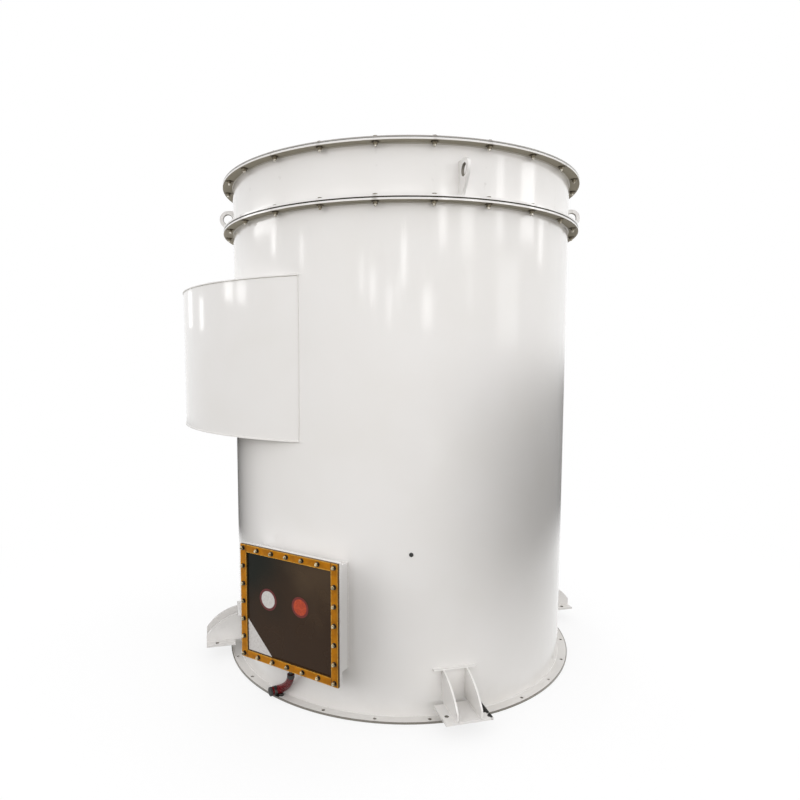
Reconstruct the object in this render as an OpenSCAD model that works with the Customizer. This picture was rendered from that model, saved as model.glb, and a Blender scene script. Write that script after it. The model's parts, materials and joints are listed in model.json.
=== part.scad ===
// Pulse-jet bag dust collector: round welded housing with a scroll inlet, an explosion vent,
// four support brackets, a clean-air plenum on top and a bundle of filter bags inside.
// Millimetres, +Z up. The origin is on the vessel's axis, in the plane it stands on.
// Azimuths are in degrees about +Z: 0 points along -Y (the front), 90 along +X.

/* [Housing] */
// Outside radius of the housing and of the plenum ring
body_r = 900; // [800:5:1000]
// Sheet thickness of the housing and of the plenum ring
wall_t = 5; // [3:0.5:8]
// Height of the underside of the flange that closes the housing
body_h = 2238; // [2150:1:2400]
// Height of the plenum ring between its two flanges
plenum_h = 215; // [200:1:260]

/* [Flanges] */
// Width of every round flange outside the housing wall
flange_w = 50; // [44:1:60]
// Width of every round flange inside the housing wall
flange_lip = 8; // [6:1:12]
// Thickness of the round flanges
flange_t = 8; // [6:1:14]
// Number of bolt holes in each round flange
flange_holes = 24; // [16:8:32]
// Diameter of the bolt holes in the round flanges
flange_hole_d = 14; // [10:1:18]
// Distance from the housing wall out to the bolt circle
flange_bolt_out = 27; // [22:1:30]
// Thickness of the gaskets under the tube sheet and under the cover
gasket_t = 2; // [1:0.5:4]

/* [Tube sheet and filter bags] */
// Thickness of the tube sheet
sheet_t = 4; // [3:0.5:6]
// Number of rings of bags around the middle one
bag_rings = 3; // [1:1:3]
// Distance between rings of bags
bag_pitch = 240; // [200:5:250]
// Diameter of a filter bag
bag_d = 125; // [100:1:150]
// Clearance round a bag in its hole
bag_gap = 2; // [1:0.5:4]
// Height of the closed ends of the bags above the ground
bag_bottom = 790; // [760:10:1150]
// Width of the rim by which a bag hangs on the tube sheet
bag_rim_w = 12; // [8:1:20]
// Thickness of that rim
bag_rim_t = 4; // [3:0.5:6]

/* [Cover and clean-air outlet] */
// Thickness of the flat cover
cover_t = 5; // [4:0.5:8]
// Number of stiffening ribs on the cover
rib_count = 8; // [4:1:12]
// Height of the stiffening ribs
rib_h = 40; // [20:1:60]
// Thickness of the stiffening ribs
rib_t = 6; // [4:1:10]
// Gap between the clean-air outlet and the inner ends of the ribs
rib_gap = 10; // [5:1:30]
// Distance from the housing's outside radius in to the outer ends of the ribs
rib_inset = 60; // [50:5:120]
// Outside radius of the clean-air outlet
outlet_r = 200; // [150:5:250]
// Sheet thickness of the clean-air outlet
outlet_t = 4; // [3:0.5:6]
// Height of the clean-air outlet above the cover, below its flange
outlet_h = 130; // [100:5:140]
// Width of the flange on the clean-air outlet
outlet_flange_w = 40; // [36:1:60]
// Number of bolt holes in that flange
outlet_holes = 12; // [8:4:16]

/* [Support brackets] */
// Azimuth of the first of the four brackets
bracket_az = 15; // [10:1:20]
// Clearance between the housing wall and the bracket plates
bracket_clear = 30; // [20:1:60]
// Depth of the bracket plates, outwards from the housing
bracket_depth = 150; // [120:1:200]
// Height of the underside of the bracket plates
bracket_z = 66; // [40:1:90]
// Thickness of the bracket plates
bracket_t = 10; // [8:1:16]
// Width of the bracket plates
bracket_w = 214; // [180:2:260]
// Height of the gussets
gusset_h = 143; // [120:1:200]
// Thickness of the gussets
gusset_t = 8; // [6:1:12]
// Radius of the bowed outer edge of the gussets
gusset_bow_r = 260; // [180:10:500]
// Distance between the two gussets, middle to middle
gusset_gap = 110; // [90:2:130]
// Height of the upright end of the gussets
gusset_lip = 36; // [20:1:60]
// Width of the cap on top of the gussets
cap_w = 202; // [160:2:220]
// How far the cap reaches out from the housing
cap_out = 14; // [10:1:45]
// Thickness of the cap
cap_t = 6; // [4:1:12]
// Diameter of the two bolt holes in a bracket plate
bracket_hole_d = 18; // [12:1:24]
// Distance between those two holes
bracket_hole_gap = 166; // [150:2:180]
// Distance from those holes to the plate's outer edge
bracket_hole_edge = 55; // [30:1:80]

/* [Lifting lugs] */
// Azimuths of the lifting lugs
lug_az = [15, 90, 195, 270];
// Thickness of a lug
lug_t = 12; // [8:1:20]
// Distance from the wall out to the middle of the eye
lug_eye_out = 52; // [45:1:60]
// Height of the middle of the eye above the plenum's lower flange
lug_eye_up = 102; // [80:1:120]
// Radius of the lug round the eye
lug_head_r = 46; // [40:1:50]
// Diameter of the eye
lug_eye_d = 50; // [30:1:60]
// Depth of the lug at its foot
lug_foot = 36; // [25:1:45]

/* [Scroll inlet] */
// Width of the duct, which is how far the scroll reaches out from the housing
duct_w = 382; // [350:1:400]
// Azimuth of the seam where the scroll wall leaves the housing
seam_az = -31; // [-34:0.5:-28]
// Distance from the vessel's axis back to where the scroll becomes a straight duct
scroll_back = 410; // [390:1:430]
// Height of the underside of the inlet's floor
inlet_z = 1215; // [1150:5:1300]
// Height of the inlet over its floor and roof
inlet_h = 747; // [600:1:800]
// Sheet thickness of the inlet
inlet_t = 5; // [3:0.5:8]
// How far the floor and roof stand out past the scroll wall
inlet_lip = 4; // [2:0.5:10]
// Length of the straight duct behind the scroll
duct_len = 150; // [80:5:250]
// Width of the inlet flange outside the duct
inlet_flange_w = 50; // [40:1:60]
// Thickness of the inlet flange
inlet_flange_t = 8; // [6:1:12]
// Diameter of the bolt holes in the inlet flange
inlet_hole_d = 14; // [10:1:18]
// Angle left closed between that seam and the opening in the housing
mouth_seam_gap = 7; // [5:1:12]
// Angle left closed between that opening and the inner duct wall
mouth_duct_gap = 3; // [2:1:8]

/* [Explosion vent] */
// Azimuth of the vent
vent_az = -31.5; // [-34:0.5:-28]
// Height of the middle of the vent
vent_z = 455; // [440:1:480]
// Width of the vent over its flange
vent_w = 560; // [520:1:600]
// Height of the vent over its flange
vent_h = 545; // [500:1:580]
// Width of the vent's flange and clamp frame
vent_rim = 36; // [32:1:44]
// Sheet thickness of the vent's neck
neck_t = 4; // [3:0.5:6]
// Distance from the housing's outside radius out to the back of the vent flange
vent_stand_off = 56; // [50:1:80]
// Thickness of the vent flange
vent_flange_t = 20; // [10:1:30]
// Thickness of the vent gasket
vent_gasket_t = 3; // [2:0.5:5]
// Thickness of the bursting membrane
membrane_t = 2; // [1:0.5:3]
// Thickness of the clamp frame
clamp_t = 8; // [5:1:12]
// Number of bolts along each side of the clamp frame, corners included
vent_bolts = 7; // [5:1:9]
// Diameter of the bolt holes in the vent's layers
vent_hole_d = 11; // [8:1:13]

/* [Burst sensor conduit] */
// Diameter of the sleeved conduit at the vent
conduit_d = 26; // [20:1:30]
// Diameter to which the sleeve widens at the base flange
conduit_end_d = 38; // [30:1:40]
// Width over flats of the gland under the vent flange
gland_af = 19; // [16:1:24]
// Height of the gland's hexagon
gland_hex_h = 8; // [5:1:12]
// Height of the gland's neck, on which the conduit starts
gland_neck_h = 16; // [10:1:24]
// Diameter of the gland's neck
gland_neck_d = 17; // [12:1:18]
// Width of the clip that holds the conduit on the base flange
clip_w = 16; // [12:1:20]
// Thickness of the clip's strap
clip_t = 2; // [1.5:0.5:3]
// Width of the clip's ear round its bolt hole
clip_ear_w = 5; // [4:0.5:8]
// Distance from the clip's bolt to the middle line of the conduit
clip_reach = 24; // [22:1:30]
// Distance from the housing wall out to where the conduit runs straight
conduit_out = 35; // [34:1:40]
// Length of that straight end
conduit_straight = 34; // [28:1:44]

/* [Hidden] */
$fn = 48;
fine = 240;

white_paint = [0.88, 0.88, 0.87];
ochre_paint = [0.76, 0.50, 0.10];
zinc = [0.72, 0.73, 0.75];
dark_rubber = [0.12, 0.12, 0.12];
dark_film = [0.22, 0.18, 0.15];
felt = [0.85, 0.83, 0.78];
red_sleeve = [0.50, 0.03, 0.05];

inner_r = body_r - wall_t;
flange_r = body_r + flange_w;
bolt_r = body_r + flange_bolt_out;
far = 2 * flange_r;

// Radius to which the pieces that fit the wall are drawn inwards before they are cut to it
root_r = body_r / 2;

// Levels from the ground up
z_shell = flange_t;
z_gasket = body_h + flange_t;
z_sheet = z_gasket + gasket_t;
z_plenum = z_sheet + sheet_t;
z_ring = z_plenum + flange_t;
z_top_flange = z_ring + plenum_h;
z_cover_gasket = z_top_flange + flange_t;
z_cover = z_cover_gasket + gasket_t;
z_cover_top = z_cover + cover_t;
z_outlet_flange = z_cover_top + outlet_h;

// Bracket plates: the radii between which they lie
bracket_in_r = body_r + bracket_clear;
bracket_out_r = bracket_in_r + bracket_depth;

// Inlet duct: outer faces of the scroll wall and of the inner wall, and the levels between
duct_x_out = -(body_r + duct_w);
duct_x_in = -body_r;
duct_y_end = scroll_back + duct_len;

// Scroll: the arc starts on the housing at the seam and runs smoothly into the duct's outer wall
seam_out = body_r * sin(seam_az) - duct_x_out;
seam_back = body_r * cos(seam_az) + scroll_back;
scroll_r = (pow(seam_out, 2) + pow(seam_back, 2)) / (2 * seam_out);
scroll_x = duct_x_out + scroll_r;
mouth_az_1 = seam_az - mouth_seam_gap;
mouth_az_2 = mouth_duct_gap - 90;
inlet_wall_z = inlet_z + inlet_t;
inlet_wall_h = inlet_h - 2 * inlet_t;
inlet_top = inlet_z + inlet_h;

// Vent: clear opening inside the neck, and the radius at which each layer begins
vent_r = body_r + vent_stand_off;
vent_open_w = vent_w - 2 * vent_rim;
vent_open_h = vent_h - 2 * vent_rim;
vent_gasket_r = vent_r + vent_flange_t;
membrane_r = vent_gasket_r + vent_gasket_t;
clamp_r = membrane_r + membrane_t;

// Conduit: it hangs from the vent flange and is clipped to the base flange's next hole to the left.
// Its route is drawn in the frame of that hole: X along the wall, Y inwards, Z up.
clip_az = (floor(vent_az * flange_holes / 360) + 0.5) * 360 / flange_holes;
clip_lean = 20;
clip_z = flange_t + clip_t + conduit_end_d / 2;
gland_r = vent_r + vent_flange_t / 2;
gland_top = vent_z - vent_h / 2;
conduit_top = gland_top - gland_hex_h - gland_neck_h;
conduit_start = [gland_r * sin(vent_az - clip_az), -gland_r * cos(vent_az - clip_az), conduit_top];
conduit_end_dir = [-sin(clip_lean), -cos(clip_lean), 0];
conduit_bend_end = [-clip_reach, -body_r - conduit_out, clip_z];
conduit_pull_down = [0, 0, -65];
conduit_pull_in = -45 * conduit_end_dir;
conduit_steps = 16;
conduit_sides = 12;

// Turns a shape drawn with its outward direction along -Y to an azimuth
module at_azimuth(a) {
    rotate([0, 0, a]) children();
}

// Solid housing outline, to fit a piece against the wall
module housing_core() {
    cylinder(r = body_r, h = z_cover_top, $fn = fine);
}

// Round tube standing on height z
module tube(r_out, r_in, z, h) {
    translate([0, 0, z])
        difference() {
            cylinder(r = r_out, h = h, $fn = fine);
            translate([0, 0, -1]) cylinder(r = r_in, h = h + 2, $fn = fine);
        }
}

// Circle of upright holes through the layer from height z to z + h
module hole_circle(r, d, count, z, h) {
    for (i = [0:count - 1])
        at_azimuth((i + 0.5) * 360 / count)
            translate([0, -r, z - 1]) cylinder(d = d, h = h + 2);
}

// Round flange of the housing with its bolt holes
module round_flange(z, r_in, t) {
    difference() {
        tube(flange_r, r_in, z, t);
        hole_circle(bolt_r, flange_hole_d, flange_holes, z, t);
    }
}

// Plate in an upright plane through the vessel's axis, with its outline given as [radius, height]
module radial_plate(t) {
    translate([t / 2, 0, 0])
        rotate([0, 0, -90])
            rotate([90, 0, 0])
                linear_extrude(height = t) children();
}

module base_flange() {
    color(white_paint) round_flange(0, inner_r - flange_lip, flange_t);
}

module body_shell() {
    color(white_paint)
        difference() {
            tube(body_r, inner_r, z_shell, body_h - z_shell);
            inlet_mouth();
            vent_opening(root_r, body_r);
        }
}

// Window in the housing wall behind the scroll
module inlet_mouth() {
    translate([0, 0, inlet_wall_z])
        linear_extrude(height = inlet_wall_h)
            polygon([
                [0, 0],
                [far * sin(mouth_az_1), -far * cos(mouth_az_1)],
                [far * sin(mouth_az_2), -far * cos(mouth_az_2)]
            ]);
}

// Clear opening of the vent from one radius to the next
module vent_opening(r, len) {
    at_azimuth(vent_az)
        translate([-vent_open_w / 2, -r - len, vent_z - vent_open_h / 2])
            cube([vent_open_w, len, vent_open_h]);
}

module body_top_flange() {
    color(white_paint) round_flange(body_h, inner_r - flange_lip, flange_t);
}

module tube_sheet_gasket() {
    color(dark_rubber) round_flange(z_gasket, inner_r - flange_lip, gasket_t);
}

// Puts its children at the place of every filter bag
module at_bags() {
    children();
    for (ring = [1:bag_rings])
        for (i = [0:6 * ring - 1])
            at_azimuth(i * 60 / ring)
                translate([0, -ring * bag_pitch, 0]) children();
}

module tube_sheet() {
    color(zinc)
        difference() {
            translate([0, 0, z_sheet]) cylinder(r = flange_r, h = sheet_t, $fn = fine);
            hole_circle(bolt_r, flange_hole_d, flange_holes, z_sheet, sheet_t);
            at_bags()
                translate([0, 0, z_sheet - 1]) cylinder(d = bag_d + 2 * bag_gap, h = sheet_t + 2);
        }
}

// One bag with its rim, which rests on the tube sheet
module filter_bag() {
    translate([0, 0, bag_bottom]) cylinder(d = bag_d, h = z_plenum - bag_bottom + bag_rim_t);
    translate([0, 0, z_plenum]) cylinder(d = bag_d + 2 * bag_rim_w, h = bag_rim_t);
}

module filter_bags() {
    color(felt) at_bags() filter_bag();
}

module plenum_bottom_flange() {
    color(white_paint) round_flange(z_plenum, inner_r - flange_lip, flange_t);
}

module plenum_shell() {
    color(white_paint) tube(body_r, inner_r, z_ring, plenum_h);
}

module plenum_top_flange() {
    color(white_paint) round_flange(z_top_flange, inner_r - flange_lip, flange_t);
}

module cover_gasket() {
    color(dark_rubber) round_flange(z_cover_gasket, inner_r - flange_lip, gasket_t);
}

module top_cover() {
    color(white_paint) round_flange(z_cover, outlet_r - outlet_t, cover_t);
}

module cover_ribs() {
    rib_in = outlet_r + rib_gap;
    rib_out = body_r - rib_inset;
    color(white_paint)
        for (i = [0:rib_count - 1])
            at_azimuth((i + 0.5) * 360 / rib_count)
                radial_plate(rib_t)
                    polygon([
                        [rib_in, z_cover_top],
                        [rib_out, z_cover_top],
                        [rib_out, z_cover_top + rib_h / 4],
                        [rib_out - 2 * rib_h, z_cover_top + rib_h],
                        [rib_in, z_cover_top + rib_h]
                    ]);
}

module outlet_collar() {
    color(white_paint) tube(outlet_r, outlet_r - outlet_t, z_cover_top, outlet_h);
}

module outlet_flange() {
    hole_r = outlet_r + outlet_flange_w / 2;
    color(white_paint)
        difference() {
            tube(outlet_r + outlet_flange_w, outlet_r - outlet_t, z_outlet_flange, flange_t);
            hole_circle(hole_r, flange_hole_d, outlet_holes, z_outlet_flange, flange_t);
        }
}

module lifting_lug(i) {
    eye = [body_r + lug_eye_out, z_ring + lug_eye_up];
    color(white_paint)
        at_azimuth(lug_az[i - 1])
            difference() {
                radial_plate(lug_t) lug_outline(eye);
                translate([-lug_t, -eye[0], eye[1]])
                    rotate([0, 90, 0]) cylinder(d = lug_eye_d, h = 2 * lug_t);
                housing_core();
            }
}

// Outline of a lug: a round head whose sides run down to the foot and in to the wall
module lug_outline(eye) {
    reach = sqrt(pow(eye[0] - body_r - lug_foot, 2) + pow(lug_eye_up, 2));
    lean = acos(lug_head_r / reach) + atan2(-lug_eye_up, body_r + lug_foot - eye[0]);
    translate(eye) circle(r = lug_head_r);
    polygon([
        [root_r, z_ring],
        [body_r + lug_foot, z_ring],
        eye + lug_head_r * [cos(lean), sin(lean)],
        eye,
        eye + [0, lug_head_r],
        [root_r, eye[1] + lug_head_r]
    ]);
}

module bracket_plate(i) {
    color(white_paint)
        at_azimuth(bracket_az + 90 * (i - 1))
            difference() {
                translate([-bracket_w / 2, -bracket_out_r, bracket_z])
                    cube([bracket_w, bracket_out_r - bracket_in_r, bracket_t]);
                for (side = [-1, 1])
                    translate([side * bracket_hole_gap / 2, bracket_hole_edge - bracket_out_r, bracket_z - 1])
                        cylinder(d = bracket_hole_d, h = bracket_t + 2);
            }
}

module bracket_gussets(i) {
    color(white_paint)
        at_azimuth(bracket_az + 90 * (i - 1))
            difference() {
                for (side = [-1, 1])
                    translate([side * gusset_gap / 2, 0, 0])
                        radial_plate(gusset_t) gusset_outline();
                housing_core();
            }
}

// Outline of a gusset: square at the foot, bowed from its upright end up to the cap
module gusset_outline() {
    foot = bracket_z + bracket_t;
    low = [bracket_out_r, foot + gusset_lip];
    high = [body_r + cap_out, foot + gusset_h];
    half = norm(high - low) / 2;
    inward = [low[1] - high[1], high[0] - low[0]] / norm(high - low);
    middle = (low + high) / 2 + sqrt(pow(gusset_bow_r, 2) - pow(half, 2)) * inward;
    translate([root_r, foot]) square([low[0] - root_r, gusset_lip]);
    translate([root_r, foot]) square([high[0] - root_r, gusset_h]);
    intersection() {
        translate([root_r, foot]) square([low[0] - root_r, gusset_h]);
        translate(middle) circle(r = gusset_bow_r, $fn = fine);
    }
}

module bracket_cap(i) {
    color(white_paint)
        at_azimuth(bracket_az + 90 * (i - 1))
            difference() {
                translate([-cap_w / 2, -body_r - cap_out, bracket_z + bracket_t + gusset_h])
                    cube([cap_w, body_r + cap_out - root_r, cap_t]);
                housing_core();
            }
}

// Plan of the space inside the scroll and duct, grown outwards by a margin
module scroll_plan(grow) {
    difference() {
        union() {
            intersection() {
                translate([scroll_x, scroll_back]) circle(r = scroll_r + grow, $fn = fine);
                translate([-far, scroll_back - far]) square([far - body_r / 3, far]);
            }
            translate([duct_x_out - grow, scroll_back - 1])
                square([duct_x_in - duct_x_out + grow, duct_len + 1]);
        }
        circle(r = body_r, $fn = fine);
        translate([duct_x_in, 0]) square([far, far]);
    }
}

module inlet_scroll_wall() {
    color(white_paint)
        translate([0, 0, inlet_wall_z])
            linear_extrude(height = inlet_wall_h)
                difference() {
                    scroll_plan(0);
                    translate([scroll_x, scroll_back]) circle(r = scroll_r - inlet_t, $fn = fine);
                    translate([duct_x_out + inlet_t, scroll_back - 1]) square([far, far]);
                }
}

module inlet_inner_wall() {
    color(white_paint)
        translate([duct_x_in - inlet_t, 0, inlet_wall_z])
            cube([inlet_t, duct_y_end, inlet_wall_h]);
}

module inlet_roof() {
    color(white_paint)
        translate([0, 0, inlet_top - inlet_t])
            linear_extrude(height = inlet_t) scroll_plan(inlet_lip);
}

module inlet_floor() {
    color(white_paint)
        translate([0, 0, inlet_z])
            linear_extrude(height = inlet_t) scroll_plan(inlet_lip);
}

module inlet_flange() {
    w = duct_x_in - duct_x_out;
    color(white_paint)
        difference() {
            translate([duct_x_out - inlet_flange_w, duct_y_end, inlet_z - inlet_flange_w])
                cube([w + 2 * inlet_flange_w, inlet_flange_t, inlet_h + 2 * inlet_flange_w]);
            translate([duct_x_out + inlet_t, duct_y_end - 1, inlet_wall_z])
                cube([w - 2 * inlet_t, inlet_flange_t + 2, inlet_wall_h]);
            inlet_flange_holes(w);
        }
}

// Bolt holes round the inlet flange
module inlet_flange_holes(w) {
    off = inlet_flange_w / 2;
    nx = 3;
    nz = 5;
    for (i = [0:nx], side = [0, 1])
        inlet_flange_hole(-off + i * (w + 2 * off) / nx, side == 0 ? -off : inlet_h + off);
    for (k = [1:nz - 1], side = [0, 1])
        inlet_flange_hole(side == 0 ? -off : w + off, -off + k * (inlet_h + 2 * off) / nz);
}

module inlet_flange_hole(x, z) {
    translate([duct_x_out + x, duct_y_end - 1, inlet_z + z])
        rotate([-90, 0, 0]) cylinder(d = inlet_hole_d, h = inlet_flange_t + 2);
}

// One flat layer of the vent, from radius r outwards
module vent_layer(w, h, r, t) {
    at_azimuth(vent_az)
        translate([-w / 2, -r - t, vent_z - h / 2]) cube([w, t, h]);
}

// Bolt holes round the vent, through the layer from radius r
module vent_holes(r, t) {
    w = vent_w - vent_rim;
    h = vent_h - vent_rim;
    n = vent_bolts - 1;
    for (i = [0:n], k = [0:n])
        if (i == 0 || i == n || k == 0 || k == n)
            at_azimuth(vent_az)
                translate([(i / n - 0.5) * w, -r + 1, vent_z + (k / n - 0.5) * h])
                    rotate([90, 0, 0]) cylinder(d = vent_hole_d, h = t + 2);
}

module vent_frame(r, t) {
    difference() {
        vent_layer(vent_w, vent_h, r, t);
        vent_opening(r - 1, t + 2);
        vent_holes(r, t);
    }
}

module vent_neck() {
    color(white_paint)
        difference() {
            vent_layer(vent_open_w + 2 * neck_t, vent_open_h + 2 * neck_t, root_r, vent_r - root_r);
            vent_opening(root_r - 1, vent_r - root_r + 2);
            housing_core();
        }
}

module vent_flange() {
    color(white_paint) vent_frame(vent_r, vent_flange_t);
}

module vent_gasket() {
    color(dark_rubber) vent_frame(vent_gasket_r, vent_gasket_t);
}

module vent_membrane() {
    color(dark_film)
        difference() {
            vent_layer(vent_w, vent_h, membrane_r, membrane_t);
            vent_holes(membrane_r, membrane_t);
        }
}

module vent_clamp_frame() {
    color(ochre_paint) vent_frame(clamp_r, clamp_t);
}

module conduit_gland() {
    color(zinc)
        at_azimuth(vent_az)
            translate([0, -gland_r, conduit_top]) {
                cylinder(d = gland_neck_d, h = gland_neck_h);
                translate([0, 0, gland_neck_h])
                    cylinder(d = gland_af / cos(30), h = gland_hex_h, $fn = 6);
            }
}

// Point on the conduit's middle line, from 0 at the gland to 1 where the straight end begins
function conduit_point(u) =
    pow(1 - u, 3) * conduit_start
    + 3 * pow(1 - u, 2) * u * (conduit_start + conduit_pull_down)
    + 3 * (1 - u) * pow(u, 2) * (conduit_bend_end + conduit_pull_in)
    + pow(u, 3) * conduit_bend_end;

function unit(v) = v / norm(v);

// Ring of points round the middle line at p, square to the direction dir
function conduit_ring(p, dir, r) =
    let (side = unit(cross(dir, [0, -1, 1])), up = cross(side, dir))
    [for (k = [0:conduit_sides - 1])
        p + r * (cos(k * 360 / conduit_sides) * side + sin(k * 360 / conduit_sides) * up)];

module sensor_conduit() {
    n = conduit_steps;
    m = conduit_sides;
    tip = conduit_bend_end + conduit_straight * conduit_end_dir;
    rings = [
        for (i = [0:n])
            let (u = i / n, ahead = min(u + 0.01, 1), back = max(u - 0.01, 0))
            conduit_ring(
                conduit_point(u),
                unit(conduit_point(ahead) - conduit_point(back)),
                (conduit_d + (conduit_end_d - conduit_d) * u) / 2
            ),
        conduit_ring(tip, conduit_end_dir, conduit_end_d / 2)
    ];
    color(red_sleeve)
        at_azimuth(clip_az)
            polyhedron(
                points = [for (ring = rings) each ring],
                faces = [
                    [for (k = [0:m - 1]) k],
                    for (i = [0:n], k = [0:m - 1])
                        [i * m + k, (i + 1) * m + k, (i + 1) * m + (k + 1) % m, i * m + (k + 1) % m],
                    [for (k = [m - 1:-1:0]) (n + 1) * m + k]
                ]
            );
}

// Strap round the conduit's straight end, with an ear on the base flange's bolt hole
module conduit_clip() {
    ring_r = conduit_end_d / 2 + clip_t;
    ear_d = flange_hole_d + 2 * clip_ear_w;
    color(zinc)
        at_azimuth(clip_az)
            difference() {
                union() {
                    translate([0, -bolt_r, flange_t]) cylinder(d = ear_d, h = clip_t);
                    translate([-clip_reach - clip_w / 2, -flange_r, flange_t])
                        cube([clip_reach + clip_w / 2, flange_r - bolt_r + clip_w / 2, clip_t]);
                    conduit_bore(ring_r, clip_w);
                }
                conduit_bore(conduit_end_d / 2, clip_w + 20);
                translate([0, -bolt_r, flange_t - 1]) cylinder(d = flange_hole_d, h = clip_t + 2);
            }
}

// Cylinder round the start of the conduit's straight end, of a given length about the clip's middle
module conduit_bore(r, len) {
    translate(conduit_bend_end + clip_w / 2 * conduit_end_dir)
        rotate([0, 0, -clip_lean])
            rotate([90, 0, 0]) cylinder(r = r, h = len, center = true);
}

base_flange();
body_shell();
body_top_flange();
tube_sheet_gasket();
tube_sheet();
filter_bags();
plenum_bottom_flange();
plenum_shell();
plenum_top_flange();
cover_gasket();
top_cover();
cover_ribs();
outlet_collar();
outlet_flange();
lifting_lug(1);  // lifting_lug_1
lifting_lug(2);  // lifting_lug_2
lifting_lug(3);  // lifting_lug_3
lifting_lug(4);  // lifting_lug_4
bracket_plate(1);  // bracket_plate_1
bracket_plate(2);  // bracket_plate_2
bracket_plate(3);  // bracket_plate_3
bracket_plate(4);  // bracket_plate_4
bracket_gussets(1);  // bracket_gussets_1
bracket_gussets(2);  // bracket_gussets_2
bracket_gussets(3);  // bracket_gussets_3
bracket_gussets(4);  // bracket_gussets_4
bracket_cap(1);  // bracket_cap_1
bracket_cap(2);  // bracket_cap_2
bracket_cap(3);  // bracket_cap_3
bracket_cap(4);  // bracket_cap_4
inlet_scroll_wall();
inlet_inner_wall();
inlet_roof();
inlet_floor();
inlet_flange();
vent_neck();
vent_flange();
vent_gasket();
vent_membrane();
vent_clamp_frame();
conduit_gland();
sensor_conduit();
conduit_clip();
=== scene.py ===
"""Pulse dust collector: finishes, fasteners, welds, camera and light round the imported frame.

Every length is in metres and lies in the frame's own axes: +Z up, -Y to the front. An azimuth is
measured about +Z from -Y towards +X, as the collector's maker would mark it on the housing.
"""

from __future__ import annotations

import json
import logging
import math
from dataclasses import dataclass, field, replace
from enum import Enum
from typing import Iterable, Sequence, TypeVar

import bmesh
import bpy
from mathutils import Matrix, Vector

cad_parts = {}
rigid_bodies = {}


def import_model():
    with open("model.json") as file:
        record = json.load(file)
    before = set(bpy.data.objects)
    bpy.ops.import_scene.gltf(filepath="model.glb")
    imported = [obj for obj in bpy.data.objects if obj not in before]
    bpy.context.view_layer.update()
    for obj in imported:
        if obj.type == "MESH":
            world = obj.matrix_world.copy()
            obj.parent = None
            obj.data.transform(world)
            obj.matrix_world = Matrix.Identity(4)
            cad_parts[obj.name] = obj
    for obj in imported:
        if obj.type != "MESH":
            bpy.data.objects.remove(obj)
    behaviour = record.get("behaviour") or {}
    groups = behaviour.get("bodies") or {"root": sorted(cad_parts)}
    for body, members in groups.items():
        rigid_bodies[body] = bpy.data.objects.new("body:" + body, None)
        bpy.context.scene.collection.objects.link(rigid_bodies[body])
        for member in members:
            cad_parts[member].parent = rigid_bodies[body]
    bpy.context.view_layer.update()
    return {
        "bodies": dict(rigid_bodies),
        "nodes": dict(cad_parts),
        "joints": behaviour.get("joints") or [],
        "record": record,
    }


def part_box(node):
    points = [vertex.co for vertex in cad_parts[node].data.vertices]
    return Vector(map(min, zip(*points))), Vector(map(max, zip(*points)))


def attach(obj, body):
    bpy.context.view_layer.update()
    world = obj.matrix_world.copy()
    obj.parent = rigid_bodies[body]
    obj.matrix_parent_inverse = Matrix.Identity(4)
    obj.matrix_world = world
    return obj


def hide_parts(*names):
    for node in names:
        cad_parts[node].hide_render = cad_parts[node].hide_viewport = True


LOG = logging.getLogger("dust_collector")
BODY = "root"
MM = 0.001
HAIR = 1e-6

Colour = tuple[float, float, float]
Point = tuple[float, float, float]
Material = bpy.types.Material
Mesh = bmesh.types.BMesh
Vertex = bmesh.types.BMVert
Item = TypeVar("Item")

DOWN: Point = (0.0, 0.0, -1.0)
# A quarter turn about X: what points up comes to point along -Y, out of the wall.
TIP_FORWARD = Matrix.Rotation(math.pi / 2, 4, "X")


# ---------------------------------------------------------------------------------------------
# Places taken from the frame
# ---------------------------------------------------------------------------------------------


def azimuth_matrix(azimuth: float, radius: float = 0.0, height: float = 0.0) -> Matrix:
    """Gives the place at an azimuth: local X runs along the wall, local -Y outwards, Z up.

    Args:
        azimuth: Degrees about +Z, 0 at the front.
        radius: Distance out from the vessel's axis.
        height: Height above the ground.

    Returns:
        The matrix that takes local points to the frame.
    """
    turn = Matrix.Rotation(math.radians(azimuth), 4, "Z")
    return turn @ Matrix.Translation((0.0, -radius, height))


@dataclass(frozen=True)
class LocalBox:
    """Lowest and highest corner of a node, in axes turned to an azimuth."""

    low: Vector
    high: Vector

    @property
    def size(self) -> Vector:
        """Edge lengths of the box."""
        return self.high - self.low

    @property
    def centre(self) -> Vector:
        """Middle of the box."""
        return (self.low + self.high) / 2


def local_box(node: bpy.types.Object, azimuth: float) -> LocalBox:
    """Measures a node in axes turned to an azimuth.

    Args:
        node: A CAD node.
        azimuth: Degrees about +Z.

    Returns:
        Its box in those axes.
    """
    back = azimuth_matrix(azimuth).inverted()
    points = [back @ vertex.co for vertex in node.data.vertices]
    low = Vector(min(p[i] for p in points) for i in range(3))
    high = Vector(max(p[i] for p in points) for i in range(3))
    return LocalBox(low, high)


def node_azimuth(node: bpy.types.Object) -> float:
    """Gives the azimuth of the middle of a node's vertices.

    Args:
        node: A CAD node.

    Returns:
        Degrees about +Z, 0 at the front.
    """
    points = [vertex.co for vertex in node.data.vertices]
    middle = sum(points, Vector()) / len(points)
    return math.degrees(math.atan2(middle.x, -middle.y))


@dataclass(frozen=True)
class Mount:
    """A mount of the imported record, with the values that the fasteners and bores need."""

    centre: Vector
    dims: dict[str, float]


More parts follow.
